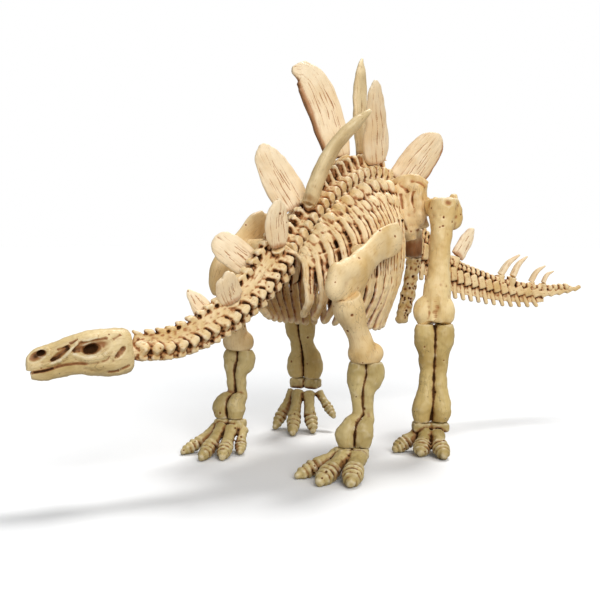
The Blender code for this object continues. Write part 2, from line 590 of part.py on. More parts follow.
def pelvis():
    """Sacrum with a flared, lumpy hip bone on each side and the stub that the tail plugs onto."""
    bm = bmesh.new()
    ball(bm, Vector((0, 40.0, 73.5)), (5.2, 9.5, 8.2))
    block(bm, Vector((0, 33.5, 79.0)), (4.2, 4.0, 4.6))
    bone(bm, [(0, 41, 70), (0.1, 46, 66), (0.2, 50, 62)], [4.2, 3.6, 3.2], count=5)
    for side in (1, -1):
        for foot, top, size in (((10.6, 32.4, 66.0), (6.0, 31.8, 78.6), 3.4),
                                ((13.0, 33.6, 66.4), (9.6, 32.8, 79.4), 3.4),
                                ((13.4, 33.4, 72.0), (12.4, 35.0, 80.0), 2.7)):
            bone(bm, [mirrored(foot, side), mirrored(top, side)], [size, size * 0.9], count=4)
        ball(bm, mirrored((15.6, 32.2, 73.0), side), (3.2, 3.2, 3.4))
        bone(bm, [mirrored((9.0, 36.0, 74), side), mirrored((3.0, 40, 76), side)], [4.5, 4.5], count=3)
        bone(bm, [mirrored((8.5, 37, 66), side), mirrored((8.5, 38, 55.6), side)], [3.6, 3.0], count=4)
    seats = seats_for(("plate_10",))
    add_bosses(bm, seats, ((0, 36, 76), (0, 42, 74)))
    fuse(bm, FACES["pelvis"], GRID * 1.2)
    trim(bm, HIP_JOIN + HIP_JOIN_NORMAL * GAP, -HIP_JOIN_NORMAL)
    trim(bm, Vector(TAIL_ROUTE[0]), tail_normal())
    trim(bm, UP * (PUBIS_TOP + GAP), -UP)
    for side in (1, -1):
        trim(bm, LEFT * side * HIP_FACE, LEFT * side)
    flatten_seats(bm, seats)
    finish_node(bm, "pelvis", IVORY)


def pubis(side, name):
    """The rough rod that hangs from the hip behind the ribs."""
    bm = bmesh.new()
    route = [mirrored(p, side) for p in ((8.5, 38.2, 57.0), (8.3, 35.5, 47.0), (8.0, 32.0, 37.0))]
    bone(bm, route, [2.6, 2.2, 2.5, 1.6], count=5, sides=7)
    trim(bm, UP * PUBIS_TOP, UP)
    finish_node(bm, name, TAWNY)


# Legs

def beside(side):
    """Direction in which a leg's two lower bones lie next to each other, before mirroring."""
    return Vector((0.777, 0.629, 0.0)) if side > 0 else Vector((-0.95, 0.3, 0.0)).normalized()


def scapula(side, name, points, pad):
    """Shoulder blade: a flat blade that runs up and back over the ribs from a thick shoulder end."""
    bm = bmesh.new()
    path = smooth_route([mirrored(p, side) for p in points], len(BLADE_HALVES))
    sweep(bm, path, BLADE_HALVES, LEFT, sides=10)
    mount_pad(bm, side, pad, BLADE_FACE - 1.0, points[0][0])
    fuse(bm, FACES["scapula"])
    trim(bm, LEFT * side * (BLADE_FACE + GAP), -LEFT * side)
    trim(bm, SHOULDER + UP * GAP / 2, SHOULDER_NORMAL)
    finish_node(bm, name, IVORY)


def humerus(side, name, points):
    """Upper arm: broad at the shoulder, waisted, with two knobs at the elbow."""
    bm = bmesh.new()
    route = [mirrored(p, side) for p in points]
    bone(bm, route, [4.6, 4.6, 3.4, 3.2, 4.2, 4.6], count=9)
    out = mirrored(beside(side), side)
    for way in (1, -1):
        ball(bm, route[-1] + UP * 2.4 + out * 2.3 * way, (2.6, 2.9, 3.2))
    fuse(bm, FACES["humerus"])
    trim(bm, SHOULDER - UP * GAP / 2, -SHOULDER_NORMAL)
    trim(bm, UP * (ELBOW + GAP / 2), -UP)
    finish_node(bm, name, IVORY)


def twin_bones(bm, side, stations):
    """Two bones next to each other; a station is (centre, half distance apart, radius)."""
    for way in (1, -1):
        route = [mirrored(Vector(centre) + beside(side) * apart * way, side)
                 for centre, apart, radius in stations]
        bone(bm, route, [radius for centre, apart, radius in stations], count=11)


def forearm(side, name, top, wrist, wrist_height):
    """Radius and ulna side by side, flared at both ends."""
    bm = bmesh.new()
    x, y = wrist
    middle = Vector((*top, ELBOW)).lerp(Vector((x, y, wrist_height)), 0.5) + Vector((0, 1.2, 0))
    twin_bones(bm, side, (
        ((*top, ELBOW + 0.2), 2.2, 2.6), ((*top, ELBOW - 3.2), 2.2, 2.8), (middle + UP * 4.6, 1.6, 1.9),
        (middle - UP * 1.4, 1.4, 1.8), ((x, y + 0.5, wrist_height + 4.4), 2.0, 2.6),
        ((x, y, wrist_height + 1.4), 2.3, 2.8), ((x, y, wrist_height - 0.4), 2.0, 2.4)))
    fuse(bm, FACES["forearm"])
    trim(bm, UP * (ELBOW - GAP / 2), UP)
    trim(bm, UP * (wrist_height + GAP / 2), -UP)
    finish_node(bm, name, IVORY)


def femur(side, name):
    """Thigh: a straight column with a knobbed top, a stub towards the hip, and two condyles."""
    bm = bmesh.new()
    route = [mirrored(p, side) for p in THIGH]
    bone(bm, route, [4.4, 4.8, 3.6, 3.5, 3.7, 5.0, 5.4], count=13)
    out = mirrored(beside(side), side)
    for way in (1, -1):
        ball(bm, route[-1] + UP * 3.0 + out * 3.1 * way, (3.1, 3.2, 4.2))
    ball(bm, mirrored((26.4, 32.0, 72.5), side), (3.0, 3.0, 3.6))
    bone(bm, [mirrored((23.0, 30.6, 73.0), side), mirrored((16.0, 32.0, 73.0), side)], [3.2, 2.4], count=3)
    fuse(bm, FACES["femur"])
    trim(bm, UP * THIGH_TOP, UP)
    trim(bm, UP * (KNEE + GAP / 2), -UP)
    trim(bm, LEFT * side * (HIP_FACE + GAP), -LEFT * side)
    finish_node(bm, name, TAWNY)


def shank(side, name, stations, ankle_height):
    """Tibia and fibula side by side."""
    bm = bmesh.new()
    twin_bones(bm, side, stations)
    fuse(bm, FACES["shank"])
    trim(bm, UP * (KNEE - GAP / 2), UP)
    trim(bm, UP * (ankle_height + GAP / 2), -UP)
    finish_node(bm, name, TAWNY)


def foot(name, ankle, ankle_height, toes, half_wide, band_drop):
    """A band of wrist or ankle blocks with toes of stacked joints and blunt claws, flat underneath."""
    bm = bmesh.new()
    side = math.copysign(1.0, ankle[0])
    out = mirrored(beside(side), side)
    for way in (-1, 1):
        centre = Vector((ankle[0], ankle[1], ankle_height - band_drop * 0.5)) + out * half_wide * 0.5 * way
        block(bm, centre, (half_wide * 0.52, half_wide * 0.5, band_drop * 0.62), turn_to(UP, out))
    for root, knuckle, tip, radius in toes:
        root = Vector(root)
        knuckle = Vector(knuckle)
        tip = Vector(tip)
        ahead = tip - knuckle
        flat = Vector((-ahead.y, ahead.x, 0)).normalized()
        bone(bm, [root, knuckle], [radius * 1.05, radius * 0.82, radius * 1.0], flat, count=4, sides=8)
        for t in (0.12, 0.36, 0.6):
            ball(bm, knuckle.lerp(tip, t), (radius * 1.05, radius, radius * 0.8), turn_to(ahead, flat), 1)
        bone(bm, [knuckle, knuckle.lerp(tip, 0.6), tip], [radius, radius * 0.8, radius * 0.5], flat, count=5,
             sides=8)
    fuse(bm, FACES["foot"])
    trim(bm, UP * (ankle_height - GAP / 2), UP)
    trim(bm, UP * 0.0, -UP)
    finish_node(bm, name, IVORY)


def clear_scene():
    for obj in list(bpy.data.objects):
        bpy.data.objects.remove(obj)


def main():
    clear_scene()
    head()
    neck()
    back()
    tail()
    ribs(1, "ribs_left", PAD_LEFT)
    ribs(-1, "ribs_right", PAD_RIGHT)
    pelvis()
    pubis(1, "pubis_left")
    pubis(-1, "pubis_right")
    scapula(1, "scapula_left", BLADE_LEFT, PAD_LEFT)
    scapula(-1, "scapula_right", BLADE_RIGHT, PAD_RIGHT)
    humerus(1, "humerus_left", UPPER_ARM_LEFT)
    humerus(-1, "humerus_right", UPPER_ARM_RIGHT)
    femur(1, "femur_left")
    femur(-1, "femur_right")
    forearm(1, "forearm_left", (24.0, -11.2), (24.0, -16.4), 7.3)
    forearm(-1, "forearm_right", (22.2, -11.8), (22.2, -16.6), 9.4)
    shank(1, "shank_left", SHANK_LEFT, 8.6)
    shank(-1, "shank_right", SHANK_RIGHT, 16.4)
    for name, shape in FEET.items():
        foot(name, *shape)
    for name in PLATES:
        plate(name)
    for name in SPIKES:
        spike(name)


main()
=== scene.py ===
"""Looks of a toy stegosaur skeleton: cast ivory plastic bones with a brown wash and painted shade in the
hollows, on a pale floor.

Every bone is drawn in millimetres in the animal's own frame, where it faces -Y, its left side is +X and
the floor is z = 0. Shapes are pressed together like clay, fused into one skin, then grooved, pitted,
stained and darkened with painted shade. Skin.dress moves each finished bone to the part's origin, in metres.
"""

from __future__ import annotations

import logging
import math
from collections.abc import Iterable, Sequence
from dataclasses import dataclass, field
from enum import Enum
from typing import Protocol

import bmesh
import bpy
import numpy as np
from mathutils import Matrix, Vector, noise


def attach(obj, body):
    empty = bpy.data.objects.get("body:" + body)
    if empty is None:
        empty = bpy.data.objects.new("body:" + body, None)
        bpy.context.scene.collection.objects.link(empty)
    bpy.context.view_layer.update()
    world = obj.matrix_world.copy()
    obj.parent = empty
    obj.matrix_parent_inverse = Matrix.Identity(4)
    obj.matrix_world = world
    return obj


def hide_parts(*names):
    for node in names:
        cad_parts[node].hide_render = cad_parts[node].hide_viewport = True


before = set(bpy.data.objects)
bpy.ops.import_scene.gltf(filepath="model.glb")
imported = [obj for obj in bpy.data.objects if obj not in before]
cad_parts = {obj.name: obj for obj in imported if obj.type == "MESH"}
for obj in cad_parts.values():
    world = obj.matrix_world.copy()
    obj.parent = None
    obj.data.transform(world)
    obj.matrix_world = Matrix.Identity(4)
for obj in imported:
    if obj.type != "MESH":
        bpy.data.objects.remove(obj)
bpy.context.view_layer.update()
LOG = logging.getLogger("skeleton")

MM = 0.001
ORIGIN_SHIFT = Vector((-2.3, -15.3, 0.0))
UP = Vector((0.0, 0.0, 1.0))
LEFT = Vector((1.0, 0.0, 0.0))
ALONG = Vector((0.0, 1.0, 0.0))
BODY = "root"

Point = Sequence[float]
Station = tuple[Point, float, float]

# Where neighbouring pieces meet, and the clear space that is left between them.
BAND_HALF = 4.6
HIP_JOIN = Vector((0.0, 32.0, 80.0))
HIP_NORMAL = Vector((0.0, 1.0, -0.15)).normalized()
PUBIS_TOP = 56.8
BLADE_FACE = 19.9
SHOULDER = Vector((0.0, -20.0, 47.6))
SHOULDER_NORMAL = Vector((0.0, 0.36, -0.93)).normalized()
PAD_LEFT = (14.0, -5.0, 59.0)
PAD_RIGHT = (12.5, -9.0, 60.5)
ELBOW = 29.6
KNEE = 37.6
PAD_RADIUS = 2.6
THIGH_TOP = 75.3
FACE = Vector((0.63, -0.78, 0.0))
GAP = 0.3
HIP_GAP = 0.35
LEG_OVERLAP = 0.1

# The middle of the spine, read from the head backwards.
NECK_ROUTE = (
    (-9.4, -62.5, 35.8), (-7.0, -55.9, 35.8), (-5.7, -51.9, 36.6), (-4.1, -46.3, 38.6), (-2.7, -40.3, 41.4),
    (-1.7, -35.5, 44.6), (-0.9, -29.6, 48.7), (-0.4, -24.8, 53.1), (0.0, -18.0, 59.2),
)
BACK_ROUTE = (
    (0.0, -17.6, 59.6), (0.0, -12.7, 63.6), (0.0, -5.3, 70.6), (0.0, 3.8, 76.7), (0.0, 13.4, 81.2),
    (0.0, 22.4, 83.2), (0.0, 33.5, 82.6),
)
TAIL_ROUTE = (
    (0.2, 49.0, 62.5), (1.0, 56.0, 58.0), (2.5, 65.0, 53.0), (4.8, 72.9, 49.6), (8.8, 82.7, 47.2),
    (12.8, 90.5, 45.2), (17.3, 97.8, 44.0), (22.1, 104.7, 43.1), (27.1, 111.1, 43.8), (31.5, 116.3, 44.8),
)


class Side(Enum):
    """Which side of the animal a bone is on; the value turns a left-hand place into that side's."""

    LEFT = 1
    RIGHT = -1

    @property
    def word(self) -> str:
        """The side as it stands in a node's name."""
        return self.name.lower()

    def place(self, point: Point) -> Vector:
        """A point given for the left side, on this side."""
        return Vector((point[0] * self.value, point[1], point[2]))

    def route(self, points: Iterable[Point]) -> list[Vector]:
        """Several points given for the left side, on this side."""
        return [self.place(point) for point in points]

    @property
    def out(self) -> Vector:
        """Direction away from the animal's middle."""
        return LEFT * self.value


def smooth_route(points: Sequence[Point], count: int) -> list[Vector]:
    """Evenly spaced points on the Catmull-Rom curve through the given ones.

    Args:
        points: The points that the curve runs through.
        count: How many points to return.

    Returns:
        The points, from the first given one to the last.
    """
    given = np.array(points, float)
    ends = np.vstack([2 * given[0] - given[1], given, 2 * given[-1] - given[-2]])
    dense = []
    for i in range(1, len(ends) - 2):
        a, b, c, d = ends[i - 1 : i + 3]
        for t in np.linspace(0, 1, 12, endpoint=False):
            bend = (2 * a - 5 * b + 4 * c - d) * t**2 + (3 * b - a - 3 * c + d) * t**3
            dense.append(0.5 * (2 * b + (c - a) * t + bend))
    path = np.array(dense + [given[-1]])
    run = np.concatenate([[0], np.cumsum(np.linalg.norm(np.diff(path, axis=0), axis=1))])
    wanted = np.linspace(0, run[-1], count)
    return [Vector([np.interp(s, run, path[:, k]) for k in range(3)]) for s in wanted]


def turn_to(along: Vector, across: Vector) -> Matrix:
    """Rotation that takes Z to along, and X as near to across as it can.

    Args:
        along: Where Z goes.
        across: Where X goes, once it is square to along.

    Returns:
        The rotation.
    """
    z = along.normalized()
    x = (across - z * across.dot(z)).normalized()
    return Matrix((x, z.cross(x), z)).transposed().to_4x4()


def heading(path: Sequence[Vector], i: int) -> Vector:
    """Direction of a path at its point i."""
    return (path[min(i + 1, len(path) - 1)] - path[max(i - 1, 0)]).normalized()


def beyond(along: Vector) -> Vector:
    """A direction that isn't nearly the same as along: left, or up where along runs sideways."""
    return LEFT if abs(along.x) < 0.9 else UP


def lump(bm: bmesh.types.BMesh, name: str) -> bpy.types.Object:
    """Turns shapes into an object whose faces look outwards.

    Args:
        bm: The shapes, which are used up.
        name: The object's name.

    Returns:
        The object.
    """
    bmesh.ops.recalc_face_normals(bm, faces=bm.faces)
    mesh = bpy.data.meshes.new(name)
    bm.to_mesh(mesh)
    bm.free()
    return bpy.data.objects.new(name, mesh)


def melt(obj: bpy.types.Object, grid: float) -> None:
    """Has the object's shapes melted into one skin.

    Args:
        obj: The object.
        grid: Size of the faces, in millimetres.
    """
    change = obj.modifiers.new("Melt", "REMESH")
    change.mode = "VOXEL"
    change.voxel_size = grid


class Clay:
    """Overlapping closed shapes that will be fused into one skin."""

    def __init__(self) -> None:
        """Starts with nothing."""
        self.bm = bmesh.new()
        self.guides: list[list[Vector]] = []

    def ball(self, centre: Vector, half: Point, turn: Matrix | None = None, detail: int = 3) -> None:
        """Adds an ellipsoid with the given half sizes."""
        place = Matrix.Translation(centre) @ (turn or Matrix.Identity(4)) @ Matrix.Diagonal((*half, 1.0))
        bmesh.ops.create_icosphere(self.bm, subdivisions=detail, radius=1, matrix=place)

    def block(self, centre: Vector, half: Point, turn: Matrix | None = None, soft: float = 0.35) -> None:
        """Adds a box with bevelled edges.

        Args:
            centre: Its middle.
            half: Its half sizes.
            turn: Which way it lies; square to the axes where none is given.
            soft: The bevel as a share of its smallest full size.
        """
        place = Matrix.Translation(centre) @ (turn or Matrix.Identity(4)) @ Matrix.Diagonal((*half, 1.0))
        made = bmesh.ops.create_cube(self.bm, size=2, matrix=place)["verts"]
        edges = list({edge for vert in made for edge in vert.link_edges})
        bmesh.ops.bevel(self.bm, geom=edges, offset=soft * min(half) * 2, segments=2, profile=0.5,
                        affect="EDGES", material=-1)

    def sweep(self, route: Sequence[Vector], halves: Sequence[Point], across: Vector, sides: int = 12,
              guide: bool = True, square: float = 2.0) -> None:
        """Adds a closed skin over one oval ring at each point of the route.

        Args:
            route: The middle of each ring.
            halves: Half sizes of each ring, across and the other way.
            across: Direction of the first half size.
            sides: Corners of each ring.
            guide: Whether the surface's grain follows this route.
            square: How boxy each ring is; 2 is an oval.
        """
        rings = []
        for i, (point, half) in enumerate(zip(route, halves)):
            place = Matrix.Translation(point) @ turn_to(heading(route, i), across)
            place = place @ Matrix.Diagonal((*half, 1.0, 1.0))
            made = bmesh.ops.create_circle(self.bm, segments=sides, radius=1)["verts"]
            for vert in made:
                vert.co /= (abs(vert.co.x) ** square + abs(vert.co.y) ** square) ** (1 / square)
            bmesh.ops.transform(self.bm, matrix=place, verts=made)
            rings.append(list({edge for vert in made for edge in vert.link_edges}))
        for near, far in zip(rings, rings[1:]):
            bmesh.ops.bridge_loops(self.bm, edges=near + far)
        for end in (rings[0], rings[-1]):
            bmesh.ops.holes_fill(self.bm, edges=end, sides=0)
        if guide:
            self.guides.append(list(route))

    def bone(self, route: Sequence[Point], radii: Sequence[float], across: Vector = LEFT, count: int = 13,
             sides: int = 14, guide: bool = True) -> None:
        """Adds a round bone along a smooth route.

        Args:
            route: Points that its middle line runs through.
            radii: Its radius, evenly from one end to the other.
            across: Direction of the first corner of each ring.
            count: How many rings it has.
            sides: Corners of each ring.
            guide: Whether the surface's grain follows it.
        """
        path = smooth_route(route, count)
        radius = np.interp(np.linspace(0, 1, count), np.linspace(0, 1, len(radii)), radii)
        self.sweep(path, [(r, r) for r in radius], across, sides, guide)

    def rod(self, start: Vector, end: Vector, near: float, far: float) -> None:
        """Adds a straight rod with a round end at each point.

        Args:
            start: The middle of its first end.
            end: The middle of its last end.
            near: Its radius at the start.
            far: Its radius at the end.
        """
        along = end - start
        turn = turn_to(along, beyond(along.normalized()))
        place = Matrix.Translation((start + end) / 2) @ turn
        bmesh.ops.create_cone(self.bm, cap_ends=True, segments=10, radius1=near, radius2=far,
                              depth=along.length, matrix=place)
        self.ball(start, (near, near, near), detail=2)
        self.ball(end, (far, far, far), detail=2)

    def trim(self, point: Vector, normal: Vector) -> None:
        """Cuts off what lies beyond a plane, and closes the cut.

        Args:
            point: A point of the plane.
            normal: Direction from the plane to what is cut off.
        """
        parts = self.bm.verts[:] + self.bm.edges[:] + self.bm.faces[:]
        cut = bmesh.ops.bisect_plane(self.bm, geom=parts, plane_co=point, plane_no=normal, clear_outer=True)
        edges = [piece for piece in cut["geom_cut"] if isinstance(piece, bmesh.types.BMEdge)]
        bmesh.ops.holes_fill(self.bm, edges=edges, sides=0)

    def fuse(self, grid: float, soften: int = 2, gap: Clay | None = None) -> Skin:
        """Melts the shapes into one skin.

        Args:
            grid: Size of the faces, in millimetres.
            soften: How many times the skin is smoothed.
            gap: Shapes that are cut out of it before it is smoothed.

        Returns:
            The skin.
        """
        body = lump(self.bm, "clay")
        bpy.context.scene.collection.objects.link(body)
        melt(body, grid)
        if gap:
            cutter = lump(gap.bm, "gap")
            cut = body.modifiers.new("Cut", "BOOLEAN")
            cut.operation = "DIFFERENCE"
            cut.solver = "EXACT"
            cut.use_self = True
            cut.object = cutter
            melt(body, grid)
        rub = body.modifiers.new("Rub", "SMOOTH")
        rub.factor = 0.5
        rub.iterations = soften
        bpy.context.view_layer.update()
        finished = body.evaluated_get(bpy.context.evaluated_depsgraph_get())
        fused = bpy.data.meshes.new_from_object(finished)
        bpy.data.objects.remove(body)
        if gap:
            bpy.data.objects.remove(cutter)
        return Skin(fused, self.guides)


@dataclass(frozen=True)
class Settling:
    """How wash and painted shade gather on a skin: how strongly each kind of hollow draws them, and at most
    how much.
    """

    fine: float = 9.0
    fine_most: float = 0.45
    fine_turns: int = 3
    broad: float = 0.9
    broad_most: float = 0.5
    broad_turns: int = 22
    # closed, its cap and reaches: painted shade where the piece's own surface stands close in front of a
    # point.
    closed: float = 0.75
    closed_shade_most: float = 0.8
    reaches: tuple[tuple[float, float], ...] = ((0.8, 0.4), (1.7, 0.45), (3.4, 0.3))
    overlap: float = 0.35
    fine_wear: float = 7.0
    broad_wear: float = 0.5


SETTLING = Settling()
GUIDE_STEP = 7.3  # keeps the grain of one guide apart from the next one's
BATCH = 20000  # vertices that are measured at a time


class Skin:
    """One closed surface that can be dented, grooved and stained before it becomes a piece."""

    def __init__(self, mesh: bpy.types.Mesh, guides: list[list[Vector]]) -> None:
        """Reads the mesh.

        Args:
            mesh: The closed mesh.
            guides: The routes that the grain follows.
        """
        self.mesh = mesh
        self.count = len(mesh.vertices)
        flat = np.empty(self.count * 3)
        mesh.vertices.foreach_get("co", flat)
        self.points = flat.reshape(-1, 3)
        ends = np.empty(len(mesh.edges) * 2, int)
        mesh.edges.foreach_get("vertices", ends)
        self.ends = ends.reshape(-1, 2).T
        self.links = np.bincount(ends, minlength=self.count)
        self.stain = np.zeros(self.count)
        self.guides = guides

    def facing(self) -> np.ndarray:
        """The outward direction at each vertex.

        Returns:
            One unit vector for each vertex.
        """
        self.mesh.vertices.foreach_set("co", self.points.ravel())
        self.mesh.update()
        flat = np.empty(self.count * 3)
        self.mesh.vertex_normals.foreach_get("vector", flat)
        return flat.reshape(-1, 3)

    def spread(self, values: np.ndarray, turns: int) -> np.ndarray:
        """Averages values between neighbouring vertices.

        Args:
            values: One row for each vertex.
            turns: How many times they are averaged.

        Returns:
            The averaged rows.
        """
        a, b = self.ends
        for _ in range(turns):
            columns = []
            for k in range(values.shape[1]):
                near = np.bincount(a, values[b, k], self.count) + np.bincount(b, values[a, k], self.count)
                columns.append(near / self.links)
            values = 0.25 * values + 0.75 * np.stack(columns, 1)
        return values

    def groove(self, route: Sequence[Point], width: float, depth: float, stain: float = 0.7) -> None:
        """Presses a groove along a route, or raises a ridge where depth is negative.

        Args:
            route: The line of the groove, on or near the surface.
            width: Half the groove's width.
            depth: How far the surface goes in at its middle.
            stain: How much wash stays in it, from 0 to 1; where a caller uses it for shade, it is painted
                shade.
        """
        rough = np.array(route, float)
        length = np.linalg.norm(np.diff(rough, axis=0), axis=1).sum()
        line = np.array(smooth_route(route, max(6, int(length / (0.3 * width)))))
        low, high = line.min(0) - width, line.max(0) + width
        near = np.flatnonzero(((self.points > low) & (self.points < high)).all(1))
        if not len(near):
            return
        gap = np.linalg.norm(self.points[near, None] - line[None], axis=2)
        share = np.clip(1 - (gap.min(1) / width) ** 2, 0, 1) ** 2
        end = np.minimum(1, 3.5 * np.sin(np.pi * (gap.argmin(1) + 0.5) / len(line)))
        share *= end
        self.points[near] -= self.facing()[near] * (depth * share)[:, None]
        self.stain[near] = np.maximum(self.stain[near], stain * share)

    def crease(self, route: Sequence[Point], across: Vector, width: float, depth: float,
               stain: float) -> None:
        """Presses a crease wherever the surface crosses the plane through a route, square to across.

        Args:
            route: A line inside the shape.
            across: Direction square to the plane.
            width: Half the crease's width.
            depth: How far its middle goes in.
            stain: How much wash stays in it, from 0 to 1.
        """
        line = np.array(smooth_route(route, 60))
        nearest = ((self.points[:, None] - line[None]) ** 2).sum(2).argmin(1)
        off = (self.points - line[nearest]) @ np.array(across)
        share = np.clip(1 - (off / width) ** 2, 0, 1)
        self.points -= self.facing() * (depth * share)[:, None]
        self.stain = np.maximum(self.stain, stain * share)

    def dent(self, centre: Point, half: Point, turn: Matrix, depth: float, stain: float,
             push: Vector | None = None) -> None:
        """Presses an oval hollow, or raises a swelling where depth is negative.

        Args:
            centre: The middle of the hollow, on the surface.
            half: Half sizes along the axes of turn.
            turn: Which way the oval lies.
            depth: How far its middle goes in.
            stain: How much wash stays in it, from 0 to 1; where a caller uses it for shade, it is painted
                shade.
            push: Direction of the press; straight into the surface where none is given.
        """
        local = (self.points - np.array(centre)) @ np.array(turn.to_3x3()) / np.array(half)
        share = np.clip(1 - (local**2).sum(1), 0, 1) ** 1.2
        way = -self.facing() if push is None else np.array(push)[None]
        self.points += way * (depth * share)[:, None]
        self.stain = np.maximum(self.stain, stain * share)

    def pits(self, count: int, seed: int, width: float, depth: float) -> None:
        """Scatters small stained pits over the surface.

        Args:
            count: How many there are.
            seed: Which scatter it is.
            width: The usual radius of a pit.
            depth: How far its middle goes in.
        """
        random = np.random.default_rng(seed)
        facing = self.facing()
        for index in random.choice(self.count, count):
            size = width * random.uniform(0.6, 1.3)
            gap = np.linalg.norm(self.points - self.points[index], axis=1)
            share = np.clip(1 - (gap / size) ** 2, 0, 1)
            self.points -= facing * (depth * share)[:, None]
            self.stain = np.maximum(self.stain, 0.75 * share)

    def grain(self) -> np.ndarray:
        """Finds each vertex's place about the nearest guide.

        Returns:
            For each vertex, its place in two ways across the guide and along it.
        """
        spots, frames, runs, marks = [], [], [], []
        for number, guide in enumerate(self.guides):
            run = 0.0
            for i, point in enumerate(guide):
                run += (point - guide[i - 1]).length if i else 0.0
                along = heading(guide, i)
                spots.append(point)
                frames.append(turn_to(along, beyond(along)).to_3x3())
                runs.append(run)
                marks.append(number * GUIDE_STEP)
        spots, frames = np.array(spots), np.array(frames)
        runs, marks = np.array(runs), np.array(marks)
        found = np.empty((self.count, 3))
        for first in range(0, self.count, BATCH):
            part = self.points[first : first + BATCH]
            best = ((part[:, None] - spots[None]) ** 2).sum(2).argmin(1)
            local = np.einsum("nk,nkj->nj", part - spots[best], frames[best])
            local[:, 2] += runs[best]
            local[:, 0] += marks[best]
            found[first : first + BATCH] = local
        return found

    def striate(self, pitch: float, stretch: float, depth: float, stain: float = 0.0) -> None:
        """Works fine streaks into the surface along its grain.

        Args:
            pitch: How far apart the streaks are.
            stretch: How many times longer than that they are.
            depth: How far they go in.
            stain: How much wash stays in them, from 0 to 1.
        """
        place = self.grain() / (pitch, pitch, pitch * stretch)
        wave = np.array([noise.noise(Vector(p)) for p in place])
        cut = np.clip(wave, 0, 1)
        self.points -= self.facing() * (depth * cut)[:, None]
        if stain:
            self.stain = np.maximum(self.stain, stain * np.clip(cut * 3 - 0.6, 0, 1))

    def closeness(self, reach: float) -> np.ndarray:
        """Measures how much other surface stands in front of each vertex.

        Args:
            reach: At about what distance it is looked for.

        Returns:
            A value for each vertex, higher where more surface is near.
        """
        cell = reach / 3
        low = self.points.min(0) - 3 * reach
        index = ((self.points - low) / cell).astype(int)
        shape = tuple(index.max(0) + 14)
        count = np.bincount(np.ravel_multi_index(tuple(index.T), shape), minlength=math.prod(shape))
        count = count.reshape(shape).astype(float)
        for axis in (0, 1, 2, 0, 1, 2):
            count = (np.roll(count, 1, axis) + count + np.roll(count, -1, axis)) / 3
        ahead = ((self.points + self.facing() * reach - low) / cell).astype(int)
        near = count[tuple(ahead.T)] / np.median(count[tuple(index.T)])
        return self.spread(near[:, None], 2)[:, 0]

    def weather(self, size: float, height: float, seed: float = 0.0) -> None:
        """Makes the surface slightly uneven.

        Args:
            size: Size of the lumps.
            height: How far they stand out.
            seed: Where in the pattern the piece lies.
        """
        place = self.points / size + seed
        wave = np.array([noise.noise(Vector(p)) for p in place])
        self.points += self.facing() * (height * wave)[:, None]

    def dress(self, name: str, finish: Finish, nodes: Sequence[str], deep: float = 1.0) -> bpy.types.Object:
        """Makes the finished piece, with the wash and painted shade worked out from its hollows.

        Args:
            name: The piece's name.
            finish: Its finish.
            nodes: The frame's nodes that it stands for.
            deep: How strongly the wash and painted shade gather in hollows.

        Returns:
            The piece's object.
        """
        facing = self.facing()
        grain = self.grain()
        way = SETTLING
        slight = self.spread(self.points, way.fine_turns)
        near = ((slight - self.points) * facing).sum(1)
        broad = self.spread(slight, way.broad_turns)
        far = ((broad - self.points) * facing).sum(1)
        # Painted shade: the more of the piece's own surface stands close in front of a point, the darker it
        # is painted.
        closed = sum(share * self.closeness(reach) for reach, share in way.reaches)
        wash = np.clip(near * way.fine, 0, way.fine_most) + np.clip(far * way.broad, 0, way.broad_most)
        wash = np.clip((wash + np.clip(closed * way.closed, 0, way.closed_shade_most)) * deep, 0, 1)
        both = np.minimum(wash, self.stain)
        wash = np.clip(np.maximum(wash, self.stain) + way.overlap * both, 0, 1)
        worn = np.clip(-near * way.fine_wear - far * way.broad_wear, 0, 1)
        self.points[:, 2] = np.maximum(self.points[:, 2], 0.0)
        self.points = (self.points + np.array(ORIGIN_SHIFT)) * MM
        self.mesh.vertices.foreach_set("co", self.points.ravel())
        # The wash attribute carries the brown wash and the painted shade together.
        for label, values in (("wash", wash), ("worn", worn)):
            self.mesh.attributes.new(label, "FLOAT", "POINT").data.foreach_set("value", values)
        lie = self.mesh.attributes.new("grain", "FLOAT_VECTOR", "POINT")
        lie.data.foreach_set("vector", grain.ravel())
        self.mesh.shade_smooth()
        self.mesh.update()
        self.mesh.name = name
        self.mesh.materials.append(finish.material())
        piece = bpy.data.objects.new(name, self.mesh)
        bpy.context.scene.collection.objects.link(piece)
        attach(piece, BODY)
        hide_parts(*nodes)
        return piece


